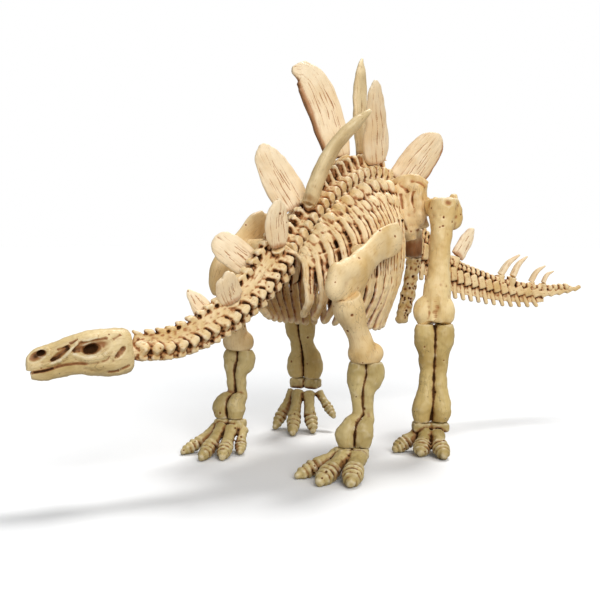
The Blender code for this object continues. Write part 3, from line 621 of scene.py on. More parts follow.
class Tree:
    """Short ways to add and join a material's nodes."""

    def __init__(self, name: str) -> None:
        """Starts a material.

        Args:
            name: The material's name.
        """
        self.material = bpy.data.materials.new(name)
        self.material.use_nodes = True
        self.nodes = self.material.node_tree.nodes
        self.shader = self.nodes["Principled BSDF"]

    def add(self, kind: str, settings: dict[str, object] | None = None,
            **sockets: object) -> bpy.types.Node:
        """Adds a node.

        Args:
            kind: Its kind, without the word that all shader nodes start with.
            settings: Its own settings.
            **sockets: What goes into its inputs: values, or other nodes' outputs.

        Returns:
            The node.
        """
        node = self.nodes.new("ShaderNode" + kind)
        for key, value in (settings or {}).items():
            setattr(node, key, value)
        for key, value in sockets.items():
            self.fill(node.inputs[key.replace("_", " ")], value)
        return node

    def fill(self, socket: bpy.types.NodeSocket, value: object) -> None:
        """Fills one input.

        Args:
            socket: The input.
            value: The output that is joined to it, or its plain value.
        """
        if isinstance(value, bpy.types.NodeSocket):
            self.material.node_tree.links.new(value, socket)
        else:
            socket.default_value = value

    def join(self, under: object, over: object, share: object,
             how: str = "MIX") -> bpy.types.NodeSocket:
        """Mixes two colours.

        Args:
            under: The first colour.
            over: The colour that is laid over it.
            share: How much of the second shows, from 0 to 1.
            how: The way of mixing.

        Returns:
            The mixed colour.
        """
        node = self.nodes.new("ShaderNodeMix")
        node.data_type = "RGBA"
        node.blend_type = how
        self.fill(node.inputs[0], share)
        self.fill(node.inputs[6], under)
        self.fill(node.inputs[7], over)
        return node.outputs[2]

    def work(self, how: str, first: object, second: object = 0.0,
             third: object = 0.0) -> bpy.types.NodeSocket:
        """Works out a number.

        Args:
            how: The sum to do.
            first: Its first number.
            second: Its second number.
            third: Its third number.

        Returns:
            The result.
        """
        node = self.nodes.new("ShaderNodeMath")
        node.operation = how
        for socket, value in zip(node.inputs, (first, second, third)):
            self.fill(socket, value)
        return node.outputs[0]

    def fade(self, value: object, low: float, high: float) -> bpy.types.NodeSocket:
        """Goes smoothly from 0 to 1 while a value goes from low to high.

        Args:
            value: The value.
            low: Where the result is 0.
            high: Where the result is 1.

        Returns:
            The result.
        """
        node = self.nodes.new("ShaderNodeMapRange")
        node.interpolation_type = "SMOOTHSTEP"
        self.fill(node.inputs["Value"], value)
        node.inputs["From Min"].default_value = low
        node.inputs["From Max"].default_value = high
        return node.outputs["Result"]

    def attribute(self, name: str, output: str = "Fac") -> bpy.types.NodeSocket:
        """An attribute of the surface."""
        return self.add("Attribute", {"attribute_name": name}).outputs[output]


def linear(share: float) -> float:
    """A screen's share of a colour, from 0 to 1, as a share of its light."""
    return share / 12.92 if share <= 0.04045 else ((share + 0.055) / 1.055) ** 2.4


def colour(red: float, green: float, blue: float) -> tuple[float, float, float, float]:
    """A colour given as it looks on a screen, from 0 to 255, made linear."""
    return (linear(red / 255), linear(green / 255), linear(blue / 255), 1.0)


@dataclass(frozen=True)
class Finish:
    """Cast plastic bone: a pale body, faint streaks along the grain, and brown wash in the hollows that
    turns to painted near-black shade in the deepest ones.
    """

    name: str
    slot: str
    light: tuple[float, float, float] = (247, 220, 170)
    dark: tuple[float, float, float] = (220, 182, 116)
    # wash is the brown of the streaks and of the wash and painted shade in hollows; deep is the near-black
    # of specks, cracks and painted shade in the deepest hollows.
    wash: tuple[float, float, float] = (170, 100, 42)
    deep: tuple[float, float, float] = (36, 17, 7)
    streak: float = 0.35
    specks: float = 0.5
    rubbed: tuple[float, float, float] = (255, 246, 224)
    roughness: float = 0.42
    bend: float = 1.47
    relief: float = 0.00022
    _made: dict[str, bpy.types.Material] = field(default_factory=dict, compare=False, repr=False)

    def material(self) -> bpy.types.Material:
        """The finish as a material, which is made the first time it is asked for.

        Returns:
            The material.
        """
        if self.name not in self._made:
            self._made[self.name] = self.build()
        return self._made[self.name]

    def build(self) -> bpy.types.Material:
        """Lays out the nodes.

        Returns:
            The material.
        """
        tree = Tree(self.name)
        place = tree.add("TexCoord").outputs["Object"]
        grain = tree.attribute("grain", "Vector")
        hollow = tree.attribute("wash")
        worn = tree.attribute("worn")
        broad = tree.add("TexNoise", Vector=place, Scale=90.0, Detail=4.0, Roughness=0.55).outputs["Fac"]
        patch = tree.add("TexNoise", Vector=place, Scale=420.0, Detail=5.0, Roughness=0.6).outputs["Fac"]
        body = tree.join(colour(*self.light), colour(*self.dark), tree.fade(broad, 0.35, 0.72))
        body = tree.join(body, colour(*self.dark), tree.work("MULTIPLY", tree.fade(patch, 0.5, 0.8), 0.45))

        along = tree.add("Mapping", Vector=grain, Scale=(3.0, 3.0, 0.14)).outputs["Vector"]
        fibre = tree.add("TexNoise", Vector=along, Scale=1.0, Detail=5.0, Roughness=0.62).outputs["Fac"]
        streak = tree.work("MULTIPLY", tree.fade(fibre, 0.53, 0.72), self.streak)
        body = tree.join(body, colour(*self.wash), streak)

        speck = tree.add("TexVoronoi", Vector=place, Scale=620.0, Randomness=1.0).outputs["Distance"]
        thin = tree.add("TexNoise", Vector=place, Scale=160.0, Detail=2.0).outputs["Fac"]
        speck = tree.work("MULTIPLY", tree.fade(speck, 0.17, 0.07), tree.fade(thin, 0.52, 0.66))
        dots = tree.work("MULTIPLY", speck, self.specks)

        crack_map = tree.add("Mapping", Vector=grain, Scale=(0.75, 0.75, 0.11)).outputs["Vector"]
        wobble = tree.add("TexNoise", Vector=grain, Scale=0.8, Detail=3.0).outputs["Color"]
        crack_map = tree.join(crack_map, wobble, 0.22, "LINEAR_LIGHT")
        crack = tree.add("TexVoronoi", {"feature": "DISTANCE_TO_EDGE"}, Vector=crack_map, Scale=1.0)
        crack_share = tree.work("MULTIPLY", tree.fade(crack.outputs["Distance"], 0.035, 0.0),
                                tree.fade(thin, 0.5, 0.62))
        crack_share = tree.work("MULTIPLY", crack_share, self.streak)

        # Wash and painted shade from the wash attribute: brown where it is weak, near-black painted shade
        # where it is strongest.
        wash_and_shade = tree.work("ADD", hollow, tree.work("MULTIPLY", tree.work("SUBTRACT", patch, 0.5), 0.34))
        warm = tree.fade(wash_and_shade, 0.06, 0.5)
        darkest_wash_and_shade = tree.fade(wash_and_shade, 0.5, 1.0)
        body = tree.join(body, colour(*self.wash), tree.work("MULTIPLY", warm, 0.88))
        body = tree.join(body, colour(*self.deep), tree.work("MULTIPLY", darkest_wash_and_shade, 0.9))
        marks = tree.work("MAXIMUM", dots, crack_share)
        body = tree.join(body, colour(*self.deep), marks)
        rubbed = tree.work("MULTIPLY", tree.fade(worn, 0.12, 0.9), 0.4)
        body = tree.join(body, colour(*self.rubbed), rubbed)
        tree.fill(tree.shader.inputs["Base Color"], body)

        gloss = tree.work("MULTIPLY_ADD", patch, 0.22, self.roughness - 0.1)
        gloss = tree.work("MULTIPLY_ADD", warm, 0.12, gloss)
        tree.fill(tree.shader.inputs["Roughness"], gloss)
        # Painted shade: the darkest places also lose most of their specular reflection.
        tree.fill(tree.shader.inputs["Specular IOR Level"], tree.work("MULTIPLY_ADD", darkest_wash_and_shade, -0.45, 0.5))
        tree.shader.inputs["IOR"].default_value = self.bend

        fine = tree.add("TexNoise", Vector=place, Scale=1500.0, Detail=4.0, Roughness=0.65).outputs["Fac"]
        height = tree.work("MULTIPLY_ADD", fibre, 0.9, tree.work("MULTIPLY", fine, 0.35))
        height = tree.work("SUBTRACT", height, tree.work("MULTIPLY", marks, 1.2))
        bump = tree.add("Bump", Height=height, Strength=0.5, Distance=self.relief)
        tree.fill(tree.shader.inputs["Normal"], bump.outputs["Normal"])
        return tree.material


IVORY = Finish("ivory_bone", "ivory")
DUSKY = Finish("dusky_bone", "ivory", light=(208, 186, 128), dark=(170, 146, 86), wash=(140, 88, 38),
               streak=0.3, specks=0.6)
OLIVE_PLATE = Finish("olive_plate", "pale", light=(246, 222, 174), dark=(216, 188, 134), wash=(160, 114, 58),
                     streak=0.12, specks=0.2)
SKULL_BONE = Finish("skull_bone", "ivory", light=(230, 205, 152), dark=(196, 166, 104), wash=(150, 88, 36))
PALE = Finish("pale_plate", "pale", light=(253, 231, 194), dark=(241, 210, 163), wash=(178, 114, 60),
              streak=0.1, specks=0.2)
TAWNY = Finish("tawny_bone", "tawny", light=(246, 219, 162), dark=(220, 183, 114), wash=(168, 100, 42),
               streak=0.26, specks=0.6)
OLIVE = Finish("olive_bone", "tawny", light=(214, 188, 124), dark=(184, 154, 88), wash=(142, 88, 36),
               streak=0.28, specks=0.6)


class Part(Protocol):
    """Anything that is built into one piece of the skeleton."""

    def build(self) -> bpy.types.Object:
        """Makes the piece."""
        ...


@dataclass
class Skull:
    """Narrow beaked skull, with both sides alike.

    Places on its side are (distance from the back, height). A station is (distance, top, bottom, half
    width) and a place of the mouth (distance, height, half its gap). A hollow is (middle, half sizes,
    tilt, depth, stain), and a line, which is a ridge where its depth is negative, (places, half width,
    depth, stain).
    """

    back: Point = (-10.1, -64.1, 0.0)
    yaw: float = 30.0
    grid: float = 0.22
    stations: tuple[Point, ...] = (
        (0.0, 39.6, 31.0, 2.6), (0.7, 40.5, 30.0, 3.3), (1.8, 40.9, 29.5, 3.8), (3.5, 41.0, 29.3, 4.1),
        (6.0, 41.0, 29.1, 4.3), (8.5, 40.9, 29.3, 4.2), (11.0, 40.6, 29.6, 3.9), (13.5, 39.9, 29.8, 3.4),
        (16.0, 38.9, 29.7, 3.0), (18.5, 38.0, 29.3, 2.7), (21.0, 37.3, 28.8, 2.5), (22.6, 36.9, 28.8, 2.3),
        (23.8, 36.5, 29.3, 2.0), (24.6, 35.9, 30.0, 1.7), (25.2, 35.3, 30.7, 1.3), (25.5, 34.6, 31.4, 0.9),
    )
    mouth: tuple[Point, ...] = (
        (27.0, 31.1, 0.34), (24.2, 31.2, 0.3), (21.4, 31.6, 0.26), (19.0, 32.2, 0.27), (16.6, 32.8, 0.28),
        (14.2, 33.0, 0.27), (12.2, 32.9, 0.2), (11.0, 32.7, 0.12),
    )
    jaw_tip: float = 24.2
    boxy: float = 2.6
    hollows: tuple[tuple[Point, Point, float, float, float], ...] = (
        ((10.2, 36.7), (4.9, 2.1), 10, 0.8, 0.3), ((9.6, 37.1), (4.2, 1.3), 14, 0.5, 0.6),
        ((13.4, 36.5), (2.2, 1.0), 24, 0.5, 0.62), ((10.5, 36.4), (2.6, 1.5), 8, 2.6, 1.7),
        ((23.0, 35.1), (2.5, 1.3), 26, 1.0, 0.8), ((22.0, 35.7), (1.2, 0.9), 12, 1.8, 1.7),
        ((17.6, 35.4), (2.9, 1.0), 36, 0.6, 0.5), ((3.5, 35.3), (2.1, 0.9), 48, 0.5, 0.32),
        ((7.2, 31.9), (4.0, 1.7), 0, -0.3, 0.0), ((4.6, 38.6), (2.0, 1.2), 30, 0.3, 0.12),
    )
    lines: tuple[tuple[tuple[Point, ...], float, float, float], ...] = (
        (((13.6, 38.4), (12.0, 39.0), (10.4, 39.3), (8.6, 39.2)), 1.3, -0.3, 0.0),
        (((13.5, 38.3), (12.4, 37.8), (11.0, 37.9), (9.4, 38.3), (8.0, 38.7), (6.4, 39.2)), 0.8, 0.4, 0.62),
        (((15.0, 36.1), (13.6, 35.0), (11.8, 34.2), (9.8, 33.9), (8.0, 34.4), (6.6, 35.6)), 1.2, -0.36, 0.0),
        (((18.6, 33.6), (16.6, 35.1), (14.7, 36.8), (12.9, 38.6)), 1.0, -0.3, 0.0),
        (((20.0, 33.8), (18.6, 34.7), (17.2, 35.9), (15.6, 37.1)), 0.66, 0.5, 0.8),
        (((18.4, 36.4), (17.0, 36.8), (15.4, 37.5)), 0.6, 0.3, 0.55),
        (((15.5, 37.9), (14.6, 38.2), (13.7, 38.7)), 0.55, 0.3, 0.62),
        (((21.0, 37.0), (20.2, 36.2), (20.4, 35.0)), 0.8, -0.3, 0.0),
        (((12.8, 38.0), (13.6, 37.0), (14.8, 35.8)), 0.7, 0.25, 0.5),
        (((5.2, 38.6), (4.2, 39.2), (3.1, 39.8)), 0.6, 0.25, 0.42),
        (((2.5, 36.6), (3.4, 35.5), (4.6, 34.2)), 0.7, 0.25, 0.3),
        (((6.6, 30.7), (5.2, 30.5), (3.7, 30.7)), 0.8, 0.3, 0.5),
        (((3.2, 31.1), (2.4, 31.4), (1.4, 31.8)), 0.7, 0.3, 0.5),
        (((6.4, 33.0), (5.6, 34.4), (4.6, 35.8)), 0.8, -0.2, 0.0),
        (((12.8, 31.6), (9.4, 31.2), (6.8, 31.6)), 0.8, 0.16, 0.12),
        (((24.8, 32.3), (22.4, 32.8), (19.6, 33.3), (17.0, 34.0)), 0.8, -0.2, 0.0),
    )

    @property
    def forward(self) -> Vector:
        """Direction from the back of the skull to the beak."""
        turn = math.radians(self.yaw)
        return Vector((-math.sin(turn), -math.cos(turn), 0.0))

    @property
    def side(self) -> Vector:
        """Direction to the animal's left, square to the skull."""
        return UP.cross(self.forward) * -1

    def at(self, distance: float, height: float, offset: float = 0.0) -> Vector:
        """A point by its distance from the back, its height and its offset to the left."""
        return Vector(self.back) + self.forward * distance + self.side * offset + UP * height

    def skin_point(self, distance: float, height: float, way: int) -> Vector:
        """Finds a point on the skull's side.

        Args:
            distance: How far from the back it is.
            height: How high it is.
            way: 1 for the left side, -1 for the right.

        Returns:
            The point.
        """
        table = np.array(self.stations)
        top, low, wide = (np.interp(distance, table[:, 0], table[:, k]) for k in (1, 2, 3))
        lift = min(0.97, abs(height - (top + low) / 2) / ((top - low) / 2))
        return self.at(distance, height, way * wide * (1 - lift**self.boxy) ** (1 / self.boxy))

    def line(self, places: Sequence[Point], way: int) -> list[Vector]:
        """Several points on one side of the skull."""
        return [self.skin_point(d, z, way) for d, z in places]

    def shape(self) -> Skin:
        """Fuses the skull and cuts its mouth.

        Returns:
            Its skin, without its small forms.
        """
        clay = Clay()
        route = [self.at(d, (top + low) / 2) for d, top, low, wide in self.stations]
        halves = [(wide, (top - low) / 2) for d, top, low, wide in self.stations]
        clay.sweep(route, halves, self.side, sides=28, square=self.boxy)
        gap = Clay()
        for offset, places in ((8.7, self.mouth), (-8.7, self.mouth), (0.0, self.mouth[:2])):
            path = [self.at(d, z, offset) for d, z, half in places]
            gap.sweep(path, [(8.0, half) for d, z, half in places], self.side, sides=12)
        gap.block(self.at(self.jaw_tip + 2.0, 29.4), (4.0, 2.1, 2.0), turn_to(self.forward, self.side))
        return clay.fuse(self.grid, 3, gap)

    def hollow(self, skin: Skin, place: Point, half: Point, tilt: float, depth: float,
               stain: float) -> None:
        """Presses the same oval into both sides.

        Args:
            skin: The skull's skin.
            place: Its middle, as distance and height.
            half: Its half length and half height.
            tilt: How far its rear end is lifted, in degrees.
            depth: How far its middle goes in.
            stain: How much wash stays in it.
        """
        turn = turn_to(self.forward, self.side) @ Matrix.Rotation(math.radians(-tilt), 4, "X")
        for way in (1, -1):
            skin.dent(self.skin_point(*place, way), (3.0, half[1], half[0]), turn, depth, stain,
                      self.side * -way)

    def detail(self, skin: Skin) -> None:
        """Works in the sockets, nostrils, ridges, seams and grooves.

        Args:
            skin: The skull's skin.
        """
        for hollow in self.hollows:
            self.hollow(skin, *hollow)
        for way in (1, -1):
            for places, width, depth, stain in self.lines:
                skin.groove(self.line(places, way), width, depth, stain)
            # Painted shade: dark bands with no depth along the mouth slit on both sides, darkest at the
            # front.
            mouth = [(d, z) for d, z, half in self.mouth[1:]]
            skin.groove(self.line(mouth, way), 0.6, 0.0, 0.75)
            skin.groove(self.line(mouth[:3], way), 0.6, 0.0, 1.3)
        skin.weather(2.4, 0.2, 3.0)

    def build(self) -> bpy.types.Object:
        """Makes the piece.

        Returns:
            The piece's object.
        """
        skin = self.shape()
        self.detail(skin)
        skin.weather(0.9, 0.08, 3.0)
        skin.pits(14, 3, 0.26, 0.1)
        return skin.dress("skull", SKULL_BONE, ["head"], 0.8)


@dataclass
class Seat:
    """Where a plate or a spike stands on the spine: its foot, its axis, and the mound under it."""

    foot: Vector
    along: Vector
    radius: float
    stretch: Vector


@dataclass
class Plate:
    """A leaf of bone; its rims are (share of the height, reach to the front, reach to the rear)."""

    number: int
    foot: Point
    tip: Point
    width: float
    thick: float
    turn: float
    bow: float = 0.0
    rims: tuple[Point, ...] = field(kw_only=True)
    # stained: how much painted shade darkens the front rim and the rear rim.
    stained: tuple[float, float] = (0.0, 0.0)
    root: float = 1.0
    square: float = 2.2
    pitted: int = 0
    sink: float = 0.0
    cracks: int = 6
    finish: Finish = PALE
    grid: float = 0.21

    @property
    def along(self) -> Vector:
        """Direction from the foot to the tip."""
        return (Vector(self.tip) - Vector(self.foot)).normalized()

    @property
    def across(self) -> Vector:
        """Direction from the middle of the leaf to its rear rim.

        Returns:
            The direction.
        """
        angle = math.radians(self.turn)
        across = self.along.cross(Vector((math.cos(angle), -math.sin(angle), 0.0))).normalized()
        return across if across.x + across.y > 0 else -across

    @property
    def face(self) -> Vector:
        """Direction that the leaf's broad side looks."""
        return self.across.cross(self.along).normalized()

    def seat(self) -> Seat:
        """The seat that carries it."""
        return Seat(Vector(self.foot), self.along, (0.8 + 0.2 * self.width) * self.root, self.across)

    def rim(self, t: float) -> tuple[float, float]:
        """Measures how far the leaf reaches.

        Args:
            t: The share of its height at which it is measured.

        Returns:
            Its reach to the front and to the rear.
        """
        table = np.array(self.rims)
        front, rear = (float(np.interp(t, table[:, 0], table[:, k])) for k in (1, 2))
        return front * self.width, rear * self.width

    def middle(self, t: float) -> Vector:
        """Finds the middle of the leaf.

        Args:
            t: The share of its height at which it is looked for.

        Returns:
            The middle.
        """
        front, rear = self.rim(t)
        bend = self.face * self.bow * math.sin(math.pi * t)
        return Vector(self.foot).lerp(Vector(self.tip), t) + bend + self.across * (rear - front) / 2

    def half(self, t: float) -> tuple[float, float]:
        """Half width and half thickness at a share of the height."""
        wide = sum(self.rim(t)) / 2
        return wide, self.thick * (1.0 - 0.3 * t) * min(1.0, 0.35 + wide / self.width)

    def shape(self) -> Skin:
        """Makes the plain leaf.

        Returns:
            Its skin.
        """
        clay = Clay()
        first = 0.012 - self.sink
        steps = [first + (1 - first) * (1 - (1 - i / 22) ** 1.5) for i in range(23)]
        clay.sweep([self.middle(t) for t in steps], [self.half(t) for t in steps], self.across, 28,
                   square=self.square)
        return clay.fuse(self.grid, 3)

    def detail(self, skin: Skin) -> None:
        """Adds streaks and cracks, a stained foot, and, where the leaf has them, pits and a rim darkened
        with painted shade.

        Args:
            skin: The leaf's skin.
        """
        skin.striate(1.0, 9.0, 0.22)
        skin.striate(0.4, 12.0, 0.16)
        random = np.random.default_rng(40 + self.number)
        for face in (1, -1):
            for _ in range(self.cracks):
                start = random.uniform(0.08, 0.5)
                end = start + random.uniform(0.16, 0.36)
                drift = random.uniform(-0.6, 0.6)
                route = []
                for t in np.linspace(start, end, 4):
                    wide, thick = self.half(t)
                    shift = drift * (1 - 0.5 * t) + random.uniform(-0.02, 0.02)
                    swell = thick * math.sqrt(max(0.0, 1 - shift**2))
                    route.append(self.middle(t) + self.across * wide * shift + self.face * face * swell)
                skin.groove(route, 0.2, 0.2, random.uniform(0.1, 0.42))
        # Painted shade: a dark band along each rim that has a stain, as on an edge turned from the light.
        for way, stain in zip((-1, 1), self.stained):
            if stain:
                rim = [self.middle(t) + self.across * way * (self.half(t)[0] - 0.1)
                       for t in np.linspace(0, 0.95, 9)]
                skin.groove(rim, 1.3 * self.thick, 0.0, stain)
        lie = turn_to(self.along, self.across)
        skin.dent(self.middle(0.0), (self.width * 1.4, 3.0, 2.2), lie, 0.0, 0.5)
        if self.pitted:
            skin.pits(self.pitted, self.number, 0.42, 0.3)
        skin.weather(3.5, 0.25, self.number * 5.0)

    def build(self) -> bpy.types.Object:
        """Makes the piece.

        Returns:
            The piece's object.
        """
        skin = self.shape()
        self.detail(skin)
        return skin.dress(f"leaf_{self.number}", self.finish, [f"plate_{self.number}"], 0.75)


@dataclass
class Spike:
    """A curved cone that sweeps back towards the tip of the tail."""

    number: int
    foot: Point
    tip: Point
    radius: float

    def seat(self) -> Seat:
        """The seat that carries it."""
        along = (Vector(self.tip) - Vector(self.foot)).normalized()
        return Seat(Vector(self.foot), along, self.radius + 0.3, LEFT)

    def build(self) -> bpy.types.Object:
        """Makes the piece.

        Returns:
            The piece's object.
        """
        foot, tip = Vector(self.foot), Vector(self.tip)
        middle = foot.lerp(tip, 0.5) + Vector((-0.35, -0.5, 0.75))
        clay = Clay()
        path = smooth_route([foot.lerp(middle, 0.02), middle, tip], 16)
        sizes = np.interp(np.linspace(0, 1, 16), [0, 0.25, 0.5, 0.75, 1], [1.0, 1.0, 0.86, 0.62, 0.28])
        clay.sweep(path, [(self.radius * s, self.radius * s * 0.92) for s in sizes], LEFT, 14)
        skin = clay.fuse(0.17, 3)
        skin.striate(0.4, 8.0, 0.08, 0.3)
        return skin.dress(f"tail_spike_{self.number}", PALE, [f"spike_{self.number}"])


PLATES = (
    Plate(1, (-5.0, -43.7, 43.6), (-8.0, -46.8, 50.0), 2.6, 0.9, 25, pitted=9, rims=(
        (0, 1.0, 1.2), (0.15, 1.0, 1.2), (0.4, 0.9, 1.0), (0.6, 0.75, 0.8), (0.8, 0.55, 0.5),
        (0.93, 0.32, 0.28), (1, 0.1, 0.1))),
    Plate(2, (0.2, -38.2, 46.6), (1.0, -43.3, 53.6), 3.6, 1.1, 30, rims=(
        (0, 0.7, 0.7), (0.2, 1, 0.95), (0.45, 1, 1), (0.7, 0.75, 1.05), (0.85, 0.45, 0.95), (0.95, 0.2, 0.7),
        (1, 0, 0.35))),
    Plate(3, (-3.4, -26.8, 55.4), (-10.4, -34.4, 63.6), 4.5, 1.2, 30, rims=(
        (0, 0.65, 0.65), (0.15, 0.9, 0.9), (0.4, 1, 1), (0.65, 1, 1), (0.85, 0.8, 0.8), (0.95, 0.5, 0.5),
        (1, 0.15, 0.15))),
    Plate(4, (3.2, -23.5, 60.6), (5.0, -26.4, 73.8), 3.9, 1.1, 15, pitted=4, rims=(
        (0, 0.5, 0.6), (0.2, 0.9, 0.95), (0.45, 1.05, 1.0), (0.65, 0.9, 0.95), (0.8, 0.55, 0.9),
        (0.92, 0.2, 0.65), (1, -0.2, 0.35))),
    Plate(5, (-3.0, -8.9, 71.5), (-9.4, -16.0, 90.2), 5.3, 1.4, 30, rims=(
        (0, 0.75, 0.95), (0.12, 0.9, 1.12), (0.3, 1.0, 1.12), (0.5, 1.0, 1.02), (0.7, 0.92, 0.88),
        (0.85, 0.72, 0.68), (0.95, 0.42, 0.42), (1, 0.15, 0.15))),
    Plate(6, (3.1, -9.3, 74.0), (14.0, 5.2, 100.1), 5.0, 2.3, -36, -2.8, stained=(0.12, 0.0),
          sink=0.05, finish=OLIVE_PLATE, rims=(
        (0, 0.55, 0.55), (0.06, 0.82, 0.82), (0.15, 1.0, 1.0), (0.4, 1.05, 1.05), (0.6, 0.95, 0.95),
        (0.8, 0.65, 0.65), (0.93, 0.35, 0.35), (1, 0.06, 0.06))),
    Plate(7, (-3.6, 13.2, 87.6), (-12.0, 6.4, 115.8), 6.6, 1.9, 24, root=1.5, stained=(0.75, 0.0),
          square=3.2, rims=(
        (0, 0.5, 0.6), (0.1, 0.6, 0.8), (0.3, 0.66, 1.0), (0.5, 0.62, 1.12), (0.7, 0.66, 1.12),
        (0.85, 0.7, 0.9), (0.95, 0.74, 0.42), (1, 0.76, -0.45))),
    Plate(8, (-2.2, 23.4, 88.6), (-9.0, 33.3, 122.0), 5.2, 1.7, -13, -0.5, root=1.3, stained=(0.2, 0.0),
          finish=OLIVE_PLATE, rims=(
        (0, 0.5, 0.5), (0.15, 0.62, 0.6), (0.35, 0.9, 0.85), (0.55, 1.0, 1.0), (0.75, 0.82, 0.85),
        (0.9, 0.45, 0.5), (0.97, 0.2, 0.25), (1, 0.04, 0.06))),
    Plate(9, (3.0, 24.2, 86.6), (8.6, 15.4, 110.6), 5.0, 1.5, 18, rims=(
        (0, 0.6, 0.7), (0.12, 0.95, 1.0), (0.28, 1.05, 1.02), (0.48, 0.8, 0.88), (0.64, 0.78, 0.74),
        (0.8, 0.66, 0.6), (0.93, 0.45, 0.42), (1, 0.12, 0.12))),
    Plate(10, (4.0, 36.4, 80.9), (12.6, 45.8, 97.2), 5.9, 1.5, 26, stained=(0.2, 0.6), rims=(
        (0, 0.85, 1.0), (0.1, 0.95, 1.1), (0.3, 1.0, 1.1), (0.5, 1.0, 1.08), (0.7, 0.9, 1.0),
        (0.85, 0.7, 0.82), (0.95, 0.42, 0.5), (1, 0.12, 0.15))),
    Plate(11, (4.6, 73.0, 57.0), (7.4, 80.0, 67.0), 3.0, 1.1, 20, stained=(0.3, 0.1), rims=(
        (0, 0.9, 1.0), (0.15, 1.0, 1.1), (0.4, 1.0, 1.05), (0.6, 0.95, 0.95), (0.8, 0.78, 0.75),
        (0.93, 0.45, 0.45), (1, 0.12, 0.12))),
)
SPIKES = (
    Spike(1, (12.4, 91.4, 50.0), (17.2, 97.6, 57.4), 1.35),
    Spike(2, (15.9, 94.2, 49.4), (19.0, 100.1, 56.8), 1.3),
    Spike(3, (19.3, 102.4, 47.2), (23.4, 106.1, 53.3), 1.15),
    Spike(4, (23.0, 105.0, 46.9), (25.6, 108.8, 51.3), 0.95),
)


@dataclass
class Spine:
    """A run of vertebrae along a route, with mounds for the plates and spikes that it carries."""

    route: tuple[Point, ...]
    bones: int
    carried: tuple[Plate | Spike, ...] = ()
    grid: float = 0.26

    def path(self) -> list[Vector]:
        """The middle of each vertebra."""
        return smooth_route(self.route, self.bones)

    def mounds(self, clay: Clay) -> None:
        """Adds a mound from the nearest point of the spine up to each seat.

        Args:
            clay: What they are added to.
        """
        dense = smooth_route(self.route, 120)
        for item in self.carried:
            seat = item.seat()
            root = min(dense, key=lambda point: (point - seat.foot).length)
            top = seat.foot - seat.along * 0.25
            path = [root, root.lerp(top, 0.5), top]
            halves = [(seat.radius, seat.radius), (seat.radius, seat.radius * 0.95),
                      (seat.radius * 1.25, seat.radius * 0.85)]
            clay.sweep(path, halves, seat.stretch, 12, guide=False)

    @staticmethod
    def axes(along: Vector) -> tuple[Matrix, Vector, Vector]:
        """Works out which way a vertebra lies.

        Args:
            along: Direction of the spine there.

        Returns:
            Its turn, its upward direction and its leftward direction.
        """
        turn = turn_to(along, LEFT)
        up = turn.to_3x3() @ Vector((0, 1, 0))
        across = turn.to_3x3() @ Vector((1, 0, 0))
        return turn, (up if up.z > 0 else -up), across


@dataclass
class Neck(Spine):
    """Vertebrae of three rows of blocks: spines on top, slanting bars at mid height, knobs below."""

    grid: float = 0.25
    peg_root: Point = (-9.4, -62.5, 35.2)
    peg_radius: float = 1.9

    def vertebra(self, clay: Clay, centre: Vector, along: Vector, t: float, pitch: float) -> None:
        """Adds one vertebra.

        Args:
            clay: What it is added to.
            centre: Its middle.
            along: Direction of the spine there.
            t: Its place, from 0 at the head to 1 at the shoulders.
            pitch: How far apart the vertebrae are.
        """
        turn, up, across = self.axes(along)
        wide, high = 2.6 + 2.0 * t, 3.9 + 3.4 * t
        odd = noise.noise(centre * 0.7)
        lean = turn @ Matrix.Rotation(math.radians(-16 + 22 * odd), 4, "X")
        lean = lean @ Matrix.Rotation(0.3 * odd, 4, "Z")
        clay.block(centre + up * high * 0.62 - along * pitch * 0.1,
                   (wide * 0.36, high * 0.44, pitch * 0.3), lean, 0.3)
        clay.block(centre + up * high * 1.0 - along * pitch * 0.22,
                   (wide * 0.33, high * 0.12, pitch * 0.34), lean, 0.4)
        clay.block(centre - up * high * 0.5, (wide * 0.52, high * 0.33, pitch * 0.38), turn, 0.3)
        for way in (1, -1):
            start = centre + up * high * 0.36 + across * wide * 0.2 * way - along * pitch * 0.24
            end = centre + across * wide * (0.84 + 0.06 * t) * way - up * high * 0.16 + along * pitch * 0.3
            bar = turn_to(end - start, along)
            clay.block((start + end) / 2, (pitch * 0.36, pitch * 0.4, (end - start).length * 0.5), bar,
                       0.26)
            knob = pitch * (1 + 0.3 * odd * way)
            clay.block(end - (end - start).normalized() * pitch * 0.12,
                       (knob * 0.41, knob * 0.5, knob * 0.34),
                       bar @ Matrix.Rotation(0.8 * odd, 4, "Z"), 0.34)
            low = centre + across * wide * 0.66 * way - up * high * 0.56 + along * pitch * 0.16
            clay.block(low, (wide * 0.24, high * 0.2, pitch * 0.36), lean, 0.4)

    def build(self) -> bpy.types.Object:
        """Makes the piece.

        Returns:
            The piece's object.
        """
        clay = Clay()
        path = self.path()
        pitch = (path[1] - path[0]).length
        for i, centre in enumerate(path):
            self.vertebra(clay, centre, heading(path, i), i / (self.bones - 1), pitch)
        core = [(2.0 + 1.4 * i / self.bones, 3.4 + 2.6 * i / self.bones) for i in range(self.bones)]
        clay.sweep(path, core, LEFT)
        skull = Skull()
        peg = skull.at(0.0, 35.0)
        clay.bone([self.peg_root, peg + skull.forward * 0.2], [self.peg_radius] * 2, count=3)
        self.mounds(clay)
        start = Vector(BACK_ROUTE[0])
        meet = (Vector(BACK_ROUTE[1]) - start).normalized()
        clay.trim(start - meet * 0.15, meet)
        skin = clay.fuse(self.grid, 1)
        # Painted shade: a dark band with no depth on the peg just behind the skull, where shade falls
        # between skull and neck.
        shaded = peg - skull.forward * 0.9
        skin.groove([shaded + UP * 2, shaded - UP * 2], self.peg_radius, 0.0, 0.9)
        skin.striate(0.6, 3.0, 0.14)
        skin.weather(1.3, 0.22, 9.0)
        skin.pits(36, 5, 0.34, 0.22)
        return skin.dress("neck_bones", IVORY, ["neck"], 1.1)


